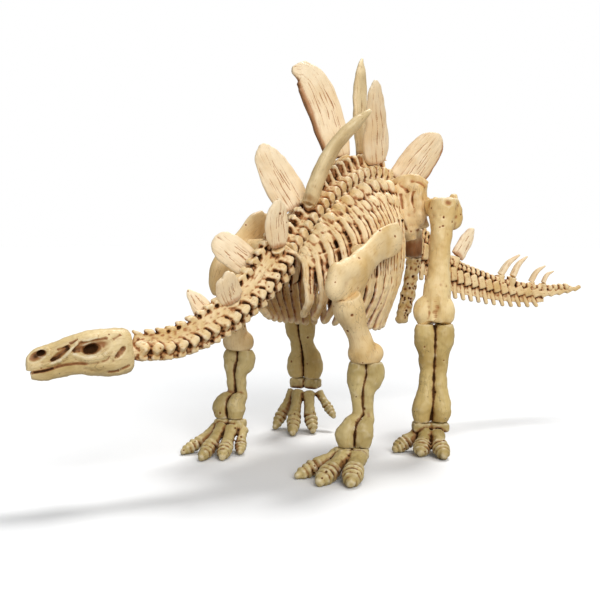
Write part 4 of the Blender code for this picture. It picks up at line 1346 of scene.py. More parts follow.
@dataclass
class Back(Spine):
    """A band of rungs with a knob at each end, and a row of rods above it."""

    half_width: float = BAND_HALF
    grid: float = 0.27

    def rung(self, clay: Clay, centre: Vector, along: Vector, t: float, pitch: float) -> None:
        """Adds one rung.

        Args:
            clay: What it is added to.
            centre: Its middle.
            along: Direction of the spine there.
            t: Its place, from 0 at the shoulders to 1 at the hips.
            pitch: How far apart the rungs are.
        """
        turn, up, across = self.axes(along)
        reach = self.half_width - 0.5
        high = 6.6 - t
        for way in (1, -1):
            start = centre + up * 2.2
            end = centre + across * way * reach + up * 0.6 + along * pitch * 0.12
            bar = turn_to(end - start, along)
            clay.block((start + end) / 2, (pitch * 0.39, 1.25, (end - start).length * 0.53), bar, 0.3)
            clay.ball(end - (end - start).normalized() * 0.5, (pitch * 0.46, 1.9, 1.7), bar)
            side = centre + across * way * (reach - 0.4) - up * 1.7
            clay.block(side, (1.0, 1.3, pitch * 0.36), turn, 0.4)
        crest = high * (1.0 if t > 0.45 else 0.7)
        clay.block(centre + up * crest * 0.6, (0.75, crest * 0.36, pitch * 0.27), turn, 0.3)
        for way in (1, -1):
            clay.ball(centre + up * crest + across * way * 0.5, (0.8, 0.65, pitch * 0.31), turn)
            foot = centre + across * way * 1.5 + up * 2.6
            clay.rod(foot, foot + up * (crest - 3.0) - across * way * 0.3, pitch * 0.21, pitch * 0.17)

    def build(self) -> bpy.types.Object:
        """Makes the piece.

        Returns:
            The piece's object.
        """
        clay = Clay()
        path = self.path()
        pitch = (path[1] - path[0]).length
        for i, centre in enumerate(path):
            self.rung(clay, centre, heading(path, i), i / (self.bones - 1), pitch)
        clay.sweep(path, [(self.half_width * 0.82, 2.6)] * self.bones, LEFT)
        self.mounds(clay)
        start = Vector(self.route[0])
        clay.trim(start, -(Vector(self.route[1]) - start).normalized())
        clay.trim(HIP_JOIN, HIP_NORMAL)
        for side in Side:
            clay.trim(side.out * self.half_width, side.out)
        skin = clay.fuse(self.grid)
        skin.striate(0.55, 3.0, 0.12)
        skin.weather(1.4, 0.16, 4.0)
        skin.pits(24, 6, 0.3, 0.18)
        return skin.dress("back_rungs", IVORY, ["back"], 0.9)


@dataclass
class Tail(Spine):
    """Slanted blocks, two rows of beads above them, and thin chevrons below."""

    chevrons: int = 19
    chevron_depth: float = 6.6
    grid: float = 0.2

    @staticmethod
    def height(t: float) -> float:
        """Half height of the blocks at a share of the tail's length."""
        return 2.5 * (1 - t) ** 0.55 + 0.75

    def depth(self, t: float) -> float:
        """How far a chevron hangs down at a share of the tail's length."""
        return self.chevron_depth * (1 - t) ** 0.38

    def block(self, clay: Clay, path: list[Vector], i: int) -> None:
        """Adds one block, with its chevron.

        Args:
            clay: What it is added to.
            path: The middle of each block.
            i: Which block it is.
        """
        t = i / (self.bones - 1)
        along = heading(path, i)
        turn, up, _ = self.axes(along)
        high = self.height(t)
        pitch = (path[1] - path[0]).length
        slant = Matrix.Rotation(math.radians(24), 4, "X")
        clay.block(path[i], (high * 0.84, high * 0.88, pitch * 0.43), turn @ slant, 0.22)
        if 0 < i < self.chevrons:
            top = path[i] - up * high * 0.6 - along * 0.9
            foot = top - up * self.depth(t) + along * (1.6 + 0.4 * t)
            route = smooth_route([top, (top + foot) / 2 - along * 0.3, foot], 8)
            clay.sweep(route, [(0.8, 1.3 - 0.04 * k - 0.35 * t) for k in range(8)], LEFT, 10)
            clay.ball(foot, (0.8, 0.6, 0.95 - 0.3 * t), turn, 2)

    def build(self) -> bpy.types.Object:
        """Makes the piece.

        Returns:
            The piece's object.
        """
        clay = Clay()
        path = self.path()
        for i in range(self.bones):
            self.block(clay, path, i)
        knobs = smooth_route(self.route, self.bones * 3 // 2)
        for i, centre in enumerate(knobs):
            t = i / (len(knobs) - 1)
            if t > 0.97:
                break
            turn, up, across = self.axes(heading(knobs, i))
            high = self.height(t)
            tall = 2.6 + 3.2 * max(0.0, 1 - 1.7 * t) - 1.7 * t
            top = centre + up * (high * 0.9 + tall - 0.5)
            clay.rod(centre, top, 0.95, 0.8)
            clay.block(top, (0.9, 0.7, 0.98), turn, 0.4)
            for way in (1, -1):
                bead = centre + up * (high * 0.92 + tall * 0.32) + across * way * 0.62
                clay.ball(bead, (0.95, 1.15, 1.05), turn, 2)
        cores, web, depths = [], [], []
        for i, centre in enumerate(path):
            t = i / (self.bones - 1)
            high = self.height(t)
            share = float(np.interp(t, [0, 0.65, 0.85], [0.72, 0.74, 0.84]))
            cores.append((high * share, high * share))
            if i <= self.chevrons:
                _, up, _ = self.axes(heading(path, i))
                deep = self.depth(t)
                web.append(centre - up * (high * 0.5 + deep * 0.36) + heading(path, i) * 0.2)
                depths.append((0.32, deep * 0.42))
        clay.sweep(path, cores, LEFT)
        clay.sweep(web, depths, LEFT, 10, guide=False)
        tip = path[-1]
        clay.ball(tip, (0.7, 0.7, 0.9), turn_to(heading(path, self.bones - 1), LEFT))
        self.mounds(clay)
        start = Vector(self.route[0])
        meet = (Vector(self.route[1]) - start).normalized()
        clay.trim(start + meet * 0.35, -meet)
        skin = clay.fuse(self.grid, 1)
        skin.striate(0.45, 2.0, 0.08)
        skin.weather(1.2, 0.1, 6.0)
        return skin.dress("tail_bones", IVORY, ["tail"], 1.25)


@dataclass
class RibCage:
    """Half of the rib cage: ribs with round heads by the spine, joined above, loose fingers below.

    Lines on a rib are (share of its half width, height over its middle).
    """

    side: Side
    pad: Point
    ribs: int = 11
    clean: int = 7
    grid: float = 0.3
    steps: int = 25
    widths: tuple[float, ...] = (2.9, 3.1, 2.7, 1.6, 1.15)
    thick: float = 0.85
    outer: Point = (0.0, 0.5)
    inner: Point = (0.0, -1.2)
    cracks: tuple[Point, ...] = ((-0.34, 0.85), (0.34, 0.85))
    ridges: tuple[Point, ...] = ((-0.66, 0.5), (0.0, 0.65), (0.66, 0.5))
    tops: tuple[Point, ...] = (
        (5.5, -15.2, 58.4), (5.5, -12.0, 61.8), (5.5, -7.6, 66.5), (5.5, -1.5, 71.3), (5.5, 4.9, 75.2),
        (5.5, 12.4, 78.8), (5.5, 18.6, 80.3), (5.5, 24.6, 80.2),
    )
    middles: tuple[Point, ...] = (
        (9.0, -16.6, 52.0), (14.2, -8.6, 58.2), (16.8, 0.0, 63.0), (17.2, 7.6, 65.2), (16.0, 14.8, 65.8),
        (13.4, 21.2, 65.2),
    )
    lows: tuple[Point, ...] = (
        (10.2, -18.4, 46.0), (15.0, -10.4, 46.8), (17.2, -1.4, 48.4), (17.7, 6.4, 49.6), (16.8, 13.4, 51.0),
        (14.4, 19.6, 52.3),
    )
    ends: tuple[Point, ...] = (
        (7.4, -17.4, 42.5), (10.5, -11.6, 40.5), (12.4, -3.5, 39.0), (13.6, 3.2, 38.2), (13.2, 9.8, 37.2),
        (11.1, 15.8, 37.2),
    )

    def rib(self, clay: Clay, places: Sequence[Vector]) -> list[list[Vector]]:
        """Adds one rib with its heads and ridges.

        Args:
            clay: What it is added to.
            places: Its top, middle, low point and end.

        Returns:
            Its middle lines on the outer and the inner face, and the lines where cracks run.
        """
        top, mid, low, end = places
        knee = top.lerp(mid, 0.5) + Vector((0.9, 0.0, 1.1))
        path = smooth_route(self.side.route((top, knee, mid, low, end)), self.steps)
        stations = np.linspace(0, self.steps - 1, len(self.widths))
        halves = [(float(np.interp(i, stations, self.widths)), self.thick) for i in range(self.steps)]
        clay.sweep(path, halves, ALONG, 16, square=3.2)
        offsets = (self.outer, self.inner, *self.cracks, *self.ridges)
        lines: list[list[Vector]] = [[] for _ in offsets]
        for i, point in enumerate(path):
            along = heading(path, i)
            beside = (ALONG - along * ALONG.dot(along)).normalized()
            lift = beside.cross(along) * self.side.value
            lift *= 1 if lift.dot(self.side.out + UP) > 0 else -1
            for line, (share, height) in zip(lines, offsets):
                line.append(point + beside * share * halves[i][0] + lift * height)
        middle, inner, *beside_it = lines
        cracks, ridges = beside_it[: len(self.cracks)], beside_it[len(self.cracks) :]
        halves = [(0.6, 0.55 if i < 11 else 0.55 - 0.07 * (i - 10)) for i in range(15)]
        for ridge in ridges:
            clay.sweep(ridge[1:16], halves, ALONG, 8, guide=False)
        clay.ball(path[0].lerp(middle[2], 0.75) + UP * 0.6, (2.1, 2.3, 2.8),
                  turn_to(heading(path, 0), ALONG))
        clay.ball(middle[4] + UP * 0.2, (1.9, 1.3, 2.6), turn_to(heading(path, 4), ALONG))
        clay.ball(path[-1], (1.1, 1.1, 1.4), turn_to(heading(path, self.steps - 1), LEFT))
        return [middle, inner, *(line[5:17] for line in cracks)]

    def build(self) -> bpy.types.Object:
        """Makes the piece.

        Returns:
            The piece's object.
        """
        clay = Clay()
        places = (self.tops, self.middles, self.lows, self.ends)
        lines = [smooth_route(points, self.ribs) for points in places]
        made = [self.rib(clay, rib) for rib in zip(*lines)]
        tops, middles, lows, _ = lines
        web = self.side.route(a.lerp(b, 0.5) + Vector((0.2, 0.0, 0.3)) for a, b in zip(tops, middles))
        slope = self.side.place((0.74, 0, -0.67))
        clay.sweep(web, [(6.6, 0.6)] * self.ribs, slope, 10, guide=False)
        wall = self.side.route(a.lerp(b, 0.5) - Vector((0.9, 0, 0)) for a, b in zip(middles, lows))[1:]
        clay.sweep(wall, [(8.4, 0.4)] * len(wall), UP, 10, guide=False)
        rail = self.side.route(top + Vector((0.6, 0, -1.6)) for top in tops)
        clay.sweep(rail, [(1.0, 1.8)] * self.ribs, LEFT, 10, guide=False)
        mount = self.side.route((x, *self.pad[1:]) for x in (self.pad[0], BLADE_FACE))
        clay.bone(mount, [PAD_RADIUS] * 2, UP, count=3, guide=False)
        clay.trim(self.side.out * (BAND_HALF + GAP), -self.side.out)
        skin = clay.fuse(self.grid, 1)
        for number, (middle, inner, *cracks) in enumerate(made):
            strong = number < self.clean
            for line in cracks:
                skin.groove(line, 0.3, 0.3, 0.8 if strong else 0.3)
            if number:
                # The grooves between the ribs carry wash and painted shade of the gaps; those on the inner
                # face are painted shade.
                between = [a.lerp(b, 0.5) for a, b in zip(made[number - 1][0], middle)]
                skin.groove(between[3:17], 0.6, 0.5 if strong else 0.4, 1.2 if strong else 0.5)
                inner_shade = [a.lerp(b, 0.5) for a, b in zip(made[number - 1][1], inner)]
                skin.groove(inner_shade[2:20], 1.0, 0.5, 1.4)
        # Painted shade: a dark band with no depth along the tops of the ribs, where shade falls in the gap
        # beside the back.
        shade = self.side.route((4.9, top.y, top.z + 0.4) for top in tops)
        skin.groove(shade, 1.7, 0.0, 1.3)
        skin.striate(0.6, 6.0, 0.14)
        skin.weather(1.8, 0.24, 2.0)
        skin.pits(16, 8, 0.34, 0.25)
        return skin.dress(f"ribs_{self.side.word}_side", IVORY, [f"ribs_{self.side.word}"], 1.05)


@dataclass
class Pelvis:
    """Lumpy hip bones on both sides of the sacrum; a ridge is (radii, route)."""

    grid: float = 0.28
    face: float = 17.2
    crease_size: tuple[float, float, float] = (1.0, 0.6, 0.35)
    columns: tuple[tuple[Point, Point, float], ...] = (
        ((10.6, 32.4, 66.0), (6.0, 31.8, 78.6), 3.2), ((13.0, 33.6, 66.4), (9.6, 32.8, 79.4), 3.2),
        ((13.4, 33.4, 72.0), (12.4, 35.0, 80.0), 2.7),
    )
    creases: tuple[tuple[Point, ...], ...] = (
        ((14.8, 27.6, 78.0), (14.4, 27.5, 75.0), (15.0, 27.7, 72.4)),
        ((8.6, 26.3, 77.8), (9.8, 25.6, 74.6), (10.8, 25.3, 71.4)),
        ((10.8, 25.9, 77.4), (11.6, 25.3, 74.6), (12.1, 25.3, 72.0)),
        ((12.0, 25.4, 68.6), (12.8, 25.7, 65.6)),
    )
    ridges: tuple[tuple[tuple[float, ...], tuple[Point, ...]], ...] = (
        ((2.4, 3.0, 3.1, 2.9, 2.5, 1.8), ((7.6, 29.2, 78.8), (9.6, 28.6, 76.4), (11.0, 28.2, 72.8),
                                          (11.9, 28.2, 69.2), (12.8, 28.4, 65.8), (13.2, 29.2, 62.8))),
        ((2.2, 2.8, 2.4), ((6.6, 30.0, 76.0), (8.0, 29.8, 71.6), (10.6, 29.8, 66.4))),
        ((2.2, 2.7, 2.8, 2.7, 2.2), ((12.8, 30.0, 79.2), (14.8, 29.7, 77.4), (15.2, 29.8, 74.0),
                                     (14.9, 29.8, 70.5), (14.4, 29.7, 67.6))),
        ((2.4, 3.0, 2.4), ((7.4, 30.8, 79.2), (11.0, 30.4, 79.6), (14.0, 31.2, 78.8))),
        ((2.8, 3.2, 2.8), ((12.4, 29.6, 77.0), (12.9, 29.2, 72.0), (13.2, 29.4, 66.0))),
        ((1.2, 1.7, 1.8, 1.4), ((5.4, 29.4, 80.6), (9.6, 29.4, 81.6), (13.6, 30.6, 81.4),
                                (16.2, 32.6, 79.6))),
        ((0.8, 1.1, 0.8), ((13.6, 28.9, 78.8), (14.0, 28.3, 76.0), (13.8, 28.7, 73.0))),
    )

    def build(self) -> bpy.types.Object:
        """Makes the piece.

        Returns:
            The piece's object.
        """
        clay = Clay()
        clay.ball(Vector((0, 40.0, 73.5)), (5.2, 9.5, 8.2))
        clay.block(Vector((0, 33.5, 79.0)), (4.2, 4.0, 4.6))
        clay.bone([(0, 41, 70), (0.1, 46, 66), (0.2, 50, 62)], [4.2, 3.6, 3.2], count=6)
        spine = Spine(((0, 36, 76), (0, 39, 75), (0, 42, 74)), 3, (PLATES[9],))
        spine.mounds(clay)
        clay.trim(HIP_JOIN + HIP_NORMAL * HIP_GAP, -HIP_NORMAL)
        for side in Side:
            for foot, top, size in self.columns:
                clay.bone(side.route((foot, top)), [size, size * 0.9], count=6)
            clay.ball(side.place((15.6, 32.2, 73.0)), (3.2, 3.2, 3.4))
            clay.bone(side.route(((9.0, 36.0, 74), (3.0, 40, 76))), [4.5, 4.5], count=4, guide=False)
            clay.bone(side.route(((8.5, 37, 66), (8.5, 38, 55.6))), [3.2, 2.6], count=6)
            for radii, route in self.ridges:
                clay.bone(side.route(route), radii, count=16, guide=False)
        start = Vector(TAIL_ROUTE[0])
        clay.trim(start, (Vector(TAIL_ROUTE[1]) - start).normalized())
        clay.trim(UP * (PUBIS_TOP + HIP_GAP), -UP)
        for side in Side:
            clay.trim(side.out * self.face, side.out)
        skin = clay.fuse(self.grid, 8)
        for side in Side:
            for crease in self.creases:
                skin.groove(side.route(crease), *self.crease_size)
            # Painted shade: a dark patch with no depth on the hip around the top of the pubis, where shade
            # falls under the hip.
            skin.dent(side.place((8.5, 38.0, 57.4)), (7.0, 7.0, 9.0), Matrix(), 0.0, 0.9)
        skin.weather(2.6, 0.45, 1.0)
        skin.pits(26, 11, 0.36, 0.26)
        return skin.dress("hips", IVORY, ["pelvis"], 0.8)


@dataclass
class Pubis:
    """The rough rod that hangs from the hip behind the ribs."""

    side: Side
    route: tuple[Point, ...] = ((8.5, 38.2, 57.4), (8.3, 35.5, 47.0), (8.0, 32.0, 37.4))
    radii: tuple[float, ...] = (2.5, 2.15, 2.4, 1.9)

    def build(self) -> bpy.types.Object:
        """Makes the piece.

        Returns:
            The piece's object.
        """
        clay = Clay()
        route = self.side.route(self.route)
        clay.bone(route, self.radii, count=12)
        clay.ball(route[-1], (2.0, 2.0, 1.4))
        clay.trim(UP * PUBIS_TOP, UP)
        skin = clay.fuse(0.26)
        skin.weather(1.5, 0.5, 7.0)
        skin.pits(60, 12, 0.5, 0.45)
        return skin.dress(f"pubis_rod_{self.side.word}", TAWNY, [f"pubis_{self.side.word}"], 1.6)


@dataclass
class ShoulderBlade:
    """A smooth blade that runs up and back over the ribs; a lobe is (middle, half sizes)."""

    side: Side
    route: tuple[Point, ...]
    pad: Point
    lobes: tuple[tuple[Point, Point], ...]
    halves: tuple[Point, ...] = (
        (1.1, 4.2), (1.5, 5.0), (1.5, 4.8), (1.7, 4.3), (2.0, 4.4), (2.4, 5.0), (2.6, 5.2), (2.4, 4.8),
        (1.8, 3.6),
    )
    steps: int = 27

    def build(self) -> bpy.types.Object:
        """Makes the piece.

        Returns:
            The piece's object.
        """
        clay = Clay()
        path = smooth_route(self.side.route(self.route), self.steps)
        table = np.array(self.halves)
        share = np.linspace(0, len(table) - 1, self.steps)
        halves = [[np.interp(s, range(len(table)), table[:, k]) for k in (0, 1)] for s in share]
        clay.sweep(path, halves, LEFT, 20)
        clay.ball(path[0], (0.9, 2.6, 2.2), turn_to(heading(path, 0), LEFT))
        for place, half in self.lobes:
            clay.ball(self.side.place(place), half)
        mount = self.side.route((x, *self.pad[1:]) for x in (BLADE_FACE + 0.4, self.route[0][0]))
        clay.bone(mount, [PAD_RADIUS] * 2, UP, count=3, guide=False)
        clay.trim(self.side.out * (BLADE_FACE + GAP), -self.side.out)
        clay.trim(SHOULDER + SHOULDER_NORMAL * 0.7, SHOULDER_NORMAL)
        skin = clay.fuse(0.28, 26)
        skin.weather(5.0, 0.5, 5.0)
        chip = self.side.place(self.route[0]) + self.side.out * 1.6 - ALONG * 4.0
        skin.dent(chip, (3.0, 0.6, 0.45), Matrix(), 0.3, 0.8)
        skin.pits(9, 21, 0.4, 0.3)
        return skin.dress(f"shoulder_blade_{self.side.word}", IVORY, [f"scapula_{self.side.word}"], 0.8)


@dataclass
class UpperArm:
    """Upper arm: broad at the shoulder, waisted, with two knobs at the elbow."""

    side: Side
    route: tuple[Point, ...]
    radii: tuple[float, ...] = (3.8, 4.5, 3.4, 3.0, 3.8, 3.2)

    def build(self) -> bpy.types.Object:
        """Makes the piece.

        Returns:
            The piece's object.
        """
        clay = Clay()
        route = self.side.route(self.route)
        clay.bone(route, self.radii, count=18, sides=20)
        out = beside(self.side)
        for way in (1, -1):
            clay.ball(route[-1] + UP * 3.1 + out * 2.3 * way, (2.6, 2.9, 3.2))
        clay.trim(SHOULDER, -SHOULDER_NORMAL)
        clay.trim(UP * (ELBOW - LEG_OVERLAP), -UP)
        skin = clay.fuse(0.28, 18)
        skin.groove([route[0] + FACE * 4.6 - UP * 2, route[0] + FACE * 4.2 - UP * 6], 1.2, 0.6, 0.55)
        skin.weather(4.0, 0.45, 8.0)
        skin.pits(10, 22, 0.4, 0.3)
        return skin.dress(f"upper_arm_{self.side.word}", IVORY, [f"humerus_{self.side.word}"], 0.85)


def beside(side: Side) -> Vector:
    """Direction in which a leg's two lower bones lie next to each other."""
    return side.place((0.777, 0.629, 0.0) if side is Side.LEFT else (-0.95, 0.3, 0.0)).normalized()


@dataclass
class TwinBones:
    """Two bones side by side; a station is (centre, half distance apart, radius)."""

    name: str
    node: str
    side: Side
    stations: tuple[Station, ...]
    top: float
    bottom: float
    finish: Finish

    def build(self) -> bpy.types.Object:
        """Makes the piece.

        Returns:
            The piece's object.
        """
        clay = Clay()
        out = beside(self.side)
        centres = self.side.route(centre for centre, apart, radius in self.stations)
        radii = [radius for centre, apart, radius in self.stations]
        for way in (1, -1):
            route = [centre + out * apart * way
                     for centre, (_, apart, _) in zip(centres, self.stations)]
            clay.bone(route, radii, count=24, sides=18)
        clay.trim(UP * (self.top + LEG_OVERLAP), UP)
        clay.trim(UP * (self.bottom - LEG_OVERLAP), -UP)
        skin = clay.fuse(0.28, 8)
        skin.crease(centres, out, 0.36, 0.3, 0.7)
        skin.weather(3.0, 0.4, 3.0)
        skin.weather(1.3, 0.12, 4.0)
        skin.pits(8, 23, 0.4, 0.3)
        return skin.dress(self.name, self.finish, [self.node], 0.6)


@dataclass
class Thigh:
    """Thigh: a straight column with a knobbed top, a stub towards the hip, and two condyles."""

    side: Side
    route: tuple[Point, ...] = (
        (24.0, 30.4, 75.4), (24.4, 27.4, 62.8), (24.8, 25.2, 50.7), (25.2, 23.0, 38.0),
    )
    radii: tuple[float, ...] = (4.2, 4.5, 3.5, 3.2, 3.2, 3.6, 4.1, 4.5, 3.8)
    inner_face: float = 17.4
    chips: tuple[Point, ...] = ((25.0, 67.2), (26.0, 66.6), (27.0, 66.9), (24.2, 65.9), (25.6, 65.4))

    def build(self) -> bpy.types.Object:
        """Makes the piece.

        Returns:
            The piece's object.
        """
        clay = Clay()
        place, route = self.side.place, self.side.route(self.route)
        clay.bone(route, self.radii, count=30, sides=22)
        out = beside(self.side)
        for way in (1, -1):
            clay.ball(route[-1] + UP * 3.6 + out * 3.1 * way, (3.1, 3.3, 4.6))
            clay.ball(route[0] - UP * 1.5 + out * 2.4 * way, (2.2, 2.4, 2.2))
        clay.ball(place((26.4, 32.0, 70.4)), (2.6, 2.8, 4.4))
        clay.bone([place((23.0, 30.6, 73.0)), place((16.0, 32.0, 73.0))], [3.2, 2.4], count=5)
        clay.trim(UP * THIGH_TOP, UP)
        clay.trim(UP * (KNEE - LEG_OVERLAP), -UP)
        clay.trim(self.side.out * self.inner_face, -self.side.out)
        clay.ball(place((24.2, 31.6, 74.8)), (2.4, 2.2, 0.9))
        clay.bone([place((25.4, 33.0, 73.0)), place((25.7, 33.2, 76.9))], [2.1, 1.1], count=5)
        clay.bone([place((22.0, 28.4, 74.2)), place((21.8, 28.6, 76.0))], [1.3, 0.8], count=4)
        skin = clay.fuse(0.28, 18)
        knee = route[-1] + FACE * 4.1
        skin.groove([knee + UP * k for k in (9, 6, 3, -1)], 1.8, 0.6, 0.0)
        skin.groove([knee + out * 1.6 + UP * k for k in (11.5, 9.5, 7)], 0.4, 0.4, 0.9)
        skin.dent(place((26.2, 27.8, 73.8)), (2.0, 2.0, 1.7), Matrix(), 1.1, 0.6)
        for y, z in self.chips:
            chip = place((24.0 + (y - 22.6) * 0.5, y - 1.4, z))
            skin.dent(chip, (0.6, 0.6, 0.45), Matrix(), 0.3, 0.9)
        skin.weather(4.0, 0.5, 2.0)
        skin.weather(1.4, 0.14, 2.0)
        skin.pits(14, 24, 0.36, 0.3)
        return skin.dress(f"thigh_{self.side.word}", TAWNY, [f"femur_{self.side.word}"])


@dataclass
class Foot:
    """A band of ankle blocks with toes of stacked joints; a toe is (root, knuckle, tip, radius)."""

    name: str
    ankle: Point
    height: float
    half_wide: float
    drop: float
    toes: tuple[tuple[Point, Point, Point, float], ...]

    def toe(self, clay: Clay, root: Vector, knuckle: Vector, tip: Vector, radius: float) -> None:
        """Adds one toe: a waisted bone, a stack of rings and a blunt claw.

        Args:
            clay: What it is added to.
            root: Where it leaves the ankle.
            knuckle: Where it bends.
            tip: The end of its claw.
            radius: Its thickness.
        """
        ahead = tip - knuckle
        flat = Vector((-ahead.y, ahead.x, 0)).normalized()
        turn = turn_to(ahead, flat)
        clay.bone([root, knuckle], [radius * 1.05, radius * 0.78, radius * 0.95], flat, count=8)
        for t, size in ((0.02, 1.05), (0.3, 1.1), (0.52, 1.0), (0.72, 0.84)):
            clay.ball(knuckle.lerp(tip, t), (radius * size, radius * size * 0.95, ahead.length * 0.15), turn)
        claw = [knuckle, knuckle.lerp(tip, 0.7), tip - ahead.normalized() * radius * 0.3]
        clay.bone(claw, [radius * 0.8, radius * 0.74, radius * 0.5], flat, count=8)
        clay.ball(claw[-1], (radius * 0.5,) * 3)

    def build(self) -> bpy.types.Object:
        """Makes the piece.

        Returns:
            The piece's object.
        """
        clay = Clay()
        side = Side.LEFT if self.ankle[0] > 0 else Side.RIGHT
        out = beside(side)
        for way in (-1, 1):
            centre = Vector((*self.ankle, self.height - self.drop * 0.5)) + out * self.half_wide * 0.5 * way
            clay.block(centre, (self.half_wide * 0.5, self.half_wide * 0.5, self.drop * 0.5),
                       turn_to(UP, out), 0.3)
        for root, knuckle, tip, radius in self.toes:
            self.toe(clay, Vector(root), Vector(knuckle), Vector(tip), radius)
        clay.trim(UP * (self.height - 0.2), UP)
        clay.trim(UP * -LEG_OVERLAP, -UP)
        skin = clay.fuse(0.25)
        skin.weather(1.2, 0.2, 5.0)
        skin.pits(20, 31, 0.34, 0.25)
        return skin.dress(f"{self.name}_toes", DUSKY, [self.name], 0.95)


SHANK_LEFT = (
    ((25.3, 22.8, 38.4), 2.5, 2.5), ((25.3, 22.8, 36.4), 2.9, 3.4), ((25.3, 22.8, 34.0), 2.9, 3.3),
    ((25.4, 22.5, 30.6), 2.1, 2.5), ((25.5, 22.2, 25.0), 1.95, 2.2), ((25.6, 21.8, 19.0), 1.9, 2.2),
    ((25.8, 21.2, 14.8), 2.2, 2.6), ((25.9, 20.6, 12.2), 2.9, 3.2), ((25.9, 20.3, 10.0), 2.8, 3.0),
    ((25.9, 20.2, 7.8), 2.2, 2.2),
)
SHANK_RIGHT = (
    ((26.2, 22.4, 38.4), 2.3, 2.3), ((26.2, 22.4, 36.4), 2.5, 3.1), ((26.2, 22.7, 33.6), 2.4, 2.9),
    ((26.1, 23.3, 29.6), 2.0, 2.3), ((25.9, 24.2, 25.6), 2.1, 2.5), ((26.0, 24.8, 21.6), 3.0, 3.3),
    ((26.0, 24.8, 18.4), 2.9, 3.2), ((26.0, 24.8, 15.8), 2.2, 2.4),
)


def forearm_stations(top: Point, wrist: Point, height: float) -> tuple[Station, ...]:
    """Works out a forearm's stations.

    Args:
        top: Its middle at the elbow, seen from above.
        wrist: Its middle at the wrist, seen from above.
        height: Height of the wrist.

    Returns:
        The stations from the elbow to the wrist.
    """
    x, y = wrist
    middle = Vector((*top, ELBOW)).lerp(Vector((x, y, height)), 0.5) + Vector((0, 1.2, 0))
    return (
        ((*top, ELBOW + 0.6), 1.9, 2.0), ((*top, ELBOW - 1.6), 2.3, 2.8), ((*top, ELBOW - 4.0), 2.3, 2.7),
        (middle + UP * 3.6, 1.5, 1.8), (middle - UP * 0.6, 1.3, 1.6), (middle - UP * 3.6, 1.4, 1.8),
        ((x, y + 0.5, height + 4.6), 2.1, 2.6), ((x, y, height + 2.2), 2.4, 2.8),
        ((x, y, height - 0.4), 1.9, 2.0),
    )


@dataclass
class Studio:
    """Pale floor, soft light, and the camera; a sun is (name, direction to it, strength, softness)."""

    azimuth: float = 39.0
    pitch: float = 3.8
    lens: float = 54.0
    sensor: float = 36.0
    eye: Point = (163.03, -211.27, 62.7)
    floor_size: float = 6.0
    floor_seen: Point = (0.91, 0.91, 0.91, 1.0)
    floor_bounce: Point = (0.4, 0.39, 0.37, 1.0)
    sky: Point = (0.95, 0.98, 1.0, 1.0)
    sky_strength: float = 0.3
    white: Point = (1.0, 1.0, 1.0, 1.0)
    suns: tuple[tuple[str, Point, float, float], ...] = (
        ("key", (-0.14, 0.5, 0.86), 2.0, 16), ("front", (0.7, -0.45, 0.55), 2.1, 40),
    )

    def camera(self) -> None:
        """Places the camera."""
        angle, tip = math.radians(self.azimuth), math.radians(self.pitch)
        right = Vector((math.cos(angle), math.sin(angle), 0.0))
        level = Vector((-math.sin(angle), math.cos(angle), 0.0))
        ahead = level * math.cos(tip) - UP * math.sin(tip)
        data = bpy.data.cameras.new("camera")
        data.lens = self.lens
        data.sensor_width = self.sensor
        data.clip_start = 0.01
        data.clip_end = 30.0
        eye = bpy.data.objects.new("camera", data)
        turn = Matrix((right, right.cross(ahead), -ahead)).transposed().to_4x4()
        eye.matrix_world = Matrix.Translation((Vector(self.eye) + ORIGIN_SHIFT) * MM) @ turn
        bpy.context.scene.collection.objects.link(eye)
        bpy.context.scene.camera = eye

    def floor(self) -> None:
        """Lays the pale floor."""
        bm = bmesh.new()
        bmesh.ops.create_grid(bm, x_segments=2, y_segments=2, size=self.floor_size)
        mesh = bpy.data.meshes.new("floor")
        bm.to_mesh(mesh)
        bm.free()
        tree = Tree("floor_white")
        seen = tree.add("LightPath").outputs["Is Camera Ray"]
        shade = tree.join(self.floor_bounce, self.floor_seen, seen)
        tree.fill(tree.shader.inputs["Base Color"], shade)
        tree.shader.inputs["Roughness"].default_value = 0.9
        tree.shader.inputs["Specular IOR Level"].default_value = 0.1
        mesh.materials.append(tree.material)
        floor = bpy.data.objects.new("floor", mesh)
        bpy.context.scene.collection.objects.link(floor)

    def sun(self, name: str, toward: Point, strength: float, softness: float) -> None:
        """Adds a sun.

        Args:
            name: Its name.
            toward: Direction to it.
            strength: How strong it is.
            softness: How wide it looks, in degrees.
        """
        data = bpy.data.lights.new(name, "SUN")
        data.energy = strength
        data.angle = math.radians(softness)
        lamp = bpy.data.objects.new(name, data)
        lamp.rotation_euler = Vector(toward).to_track_quat("Z", "Y").to_euler()
        bpy.context.scene.collection.objects.link(lamp)

    def light(self) -> None:
        """Adds the lights and the white surround."""
        for sun in self.suns:
            self.sun(*sun)
        world = bpy.data.worlds.new("surround")
        world.use_nodes = True
        tree = world.node_tree
        sky = tree.nodes["Background"]
        sky.inputs["Color"].default_value = self.sky
        sky.inputs["Strength"].default_value = self.sky_strength
        seen = tree.nodes.new("ShaderNodeBackground")
        seen.inputs["Color"].default_value = self.white
        pick = tree.nodes.new("ShaderNodeMixShader")
        path = tree.nodes.new("ShaderNodeLightPath")
        tree.links.new(path.outputs["Is Camera Ray"], pick.inputs[0])
        tree.links.new(sky.outputs[0], pick.inputs[1])
        tree.links.new(seen.outputs[0], pick.inputs[2])
        tree.links.new(pick.outputs[0], tree.nodes["World Output"].inputs["Surface"])
        bpy.context.scene.world = world
        bpy.context.scene.view_settings.view_transform = "Standard"

    def build(self) -> None:
        """Sets up everything that isn't the skeleton."""
        self.camera()
        self.floor()
        self.light()


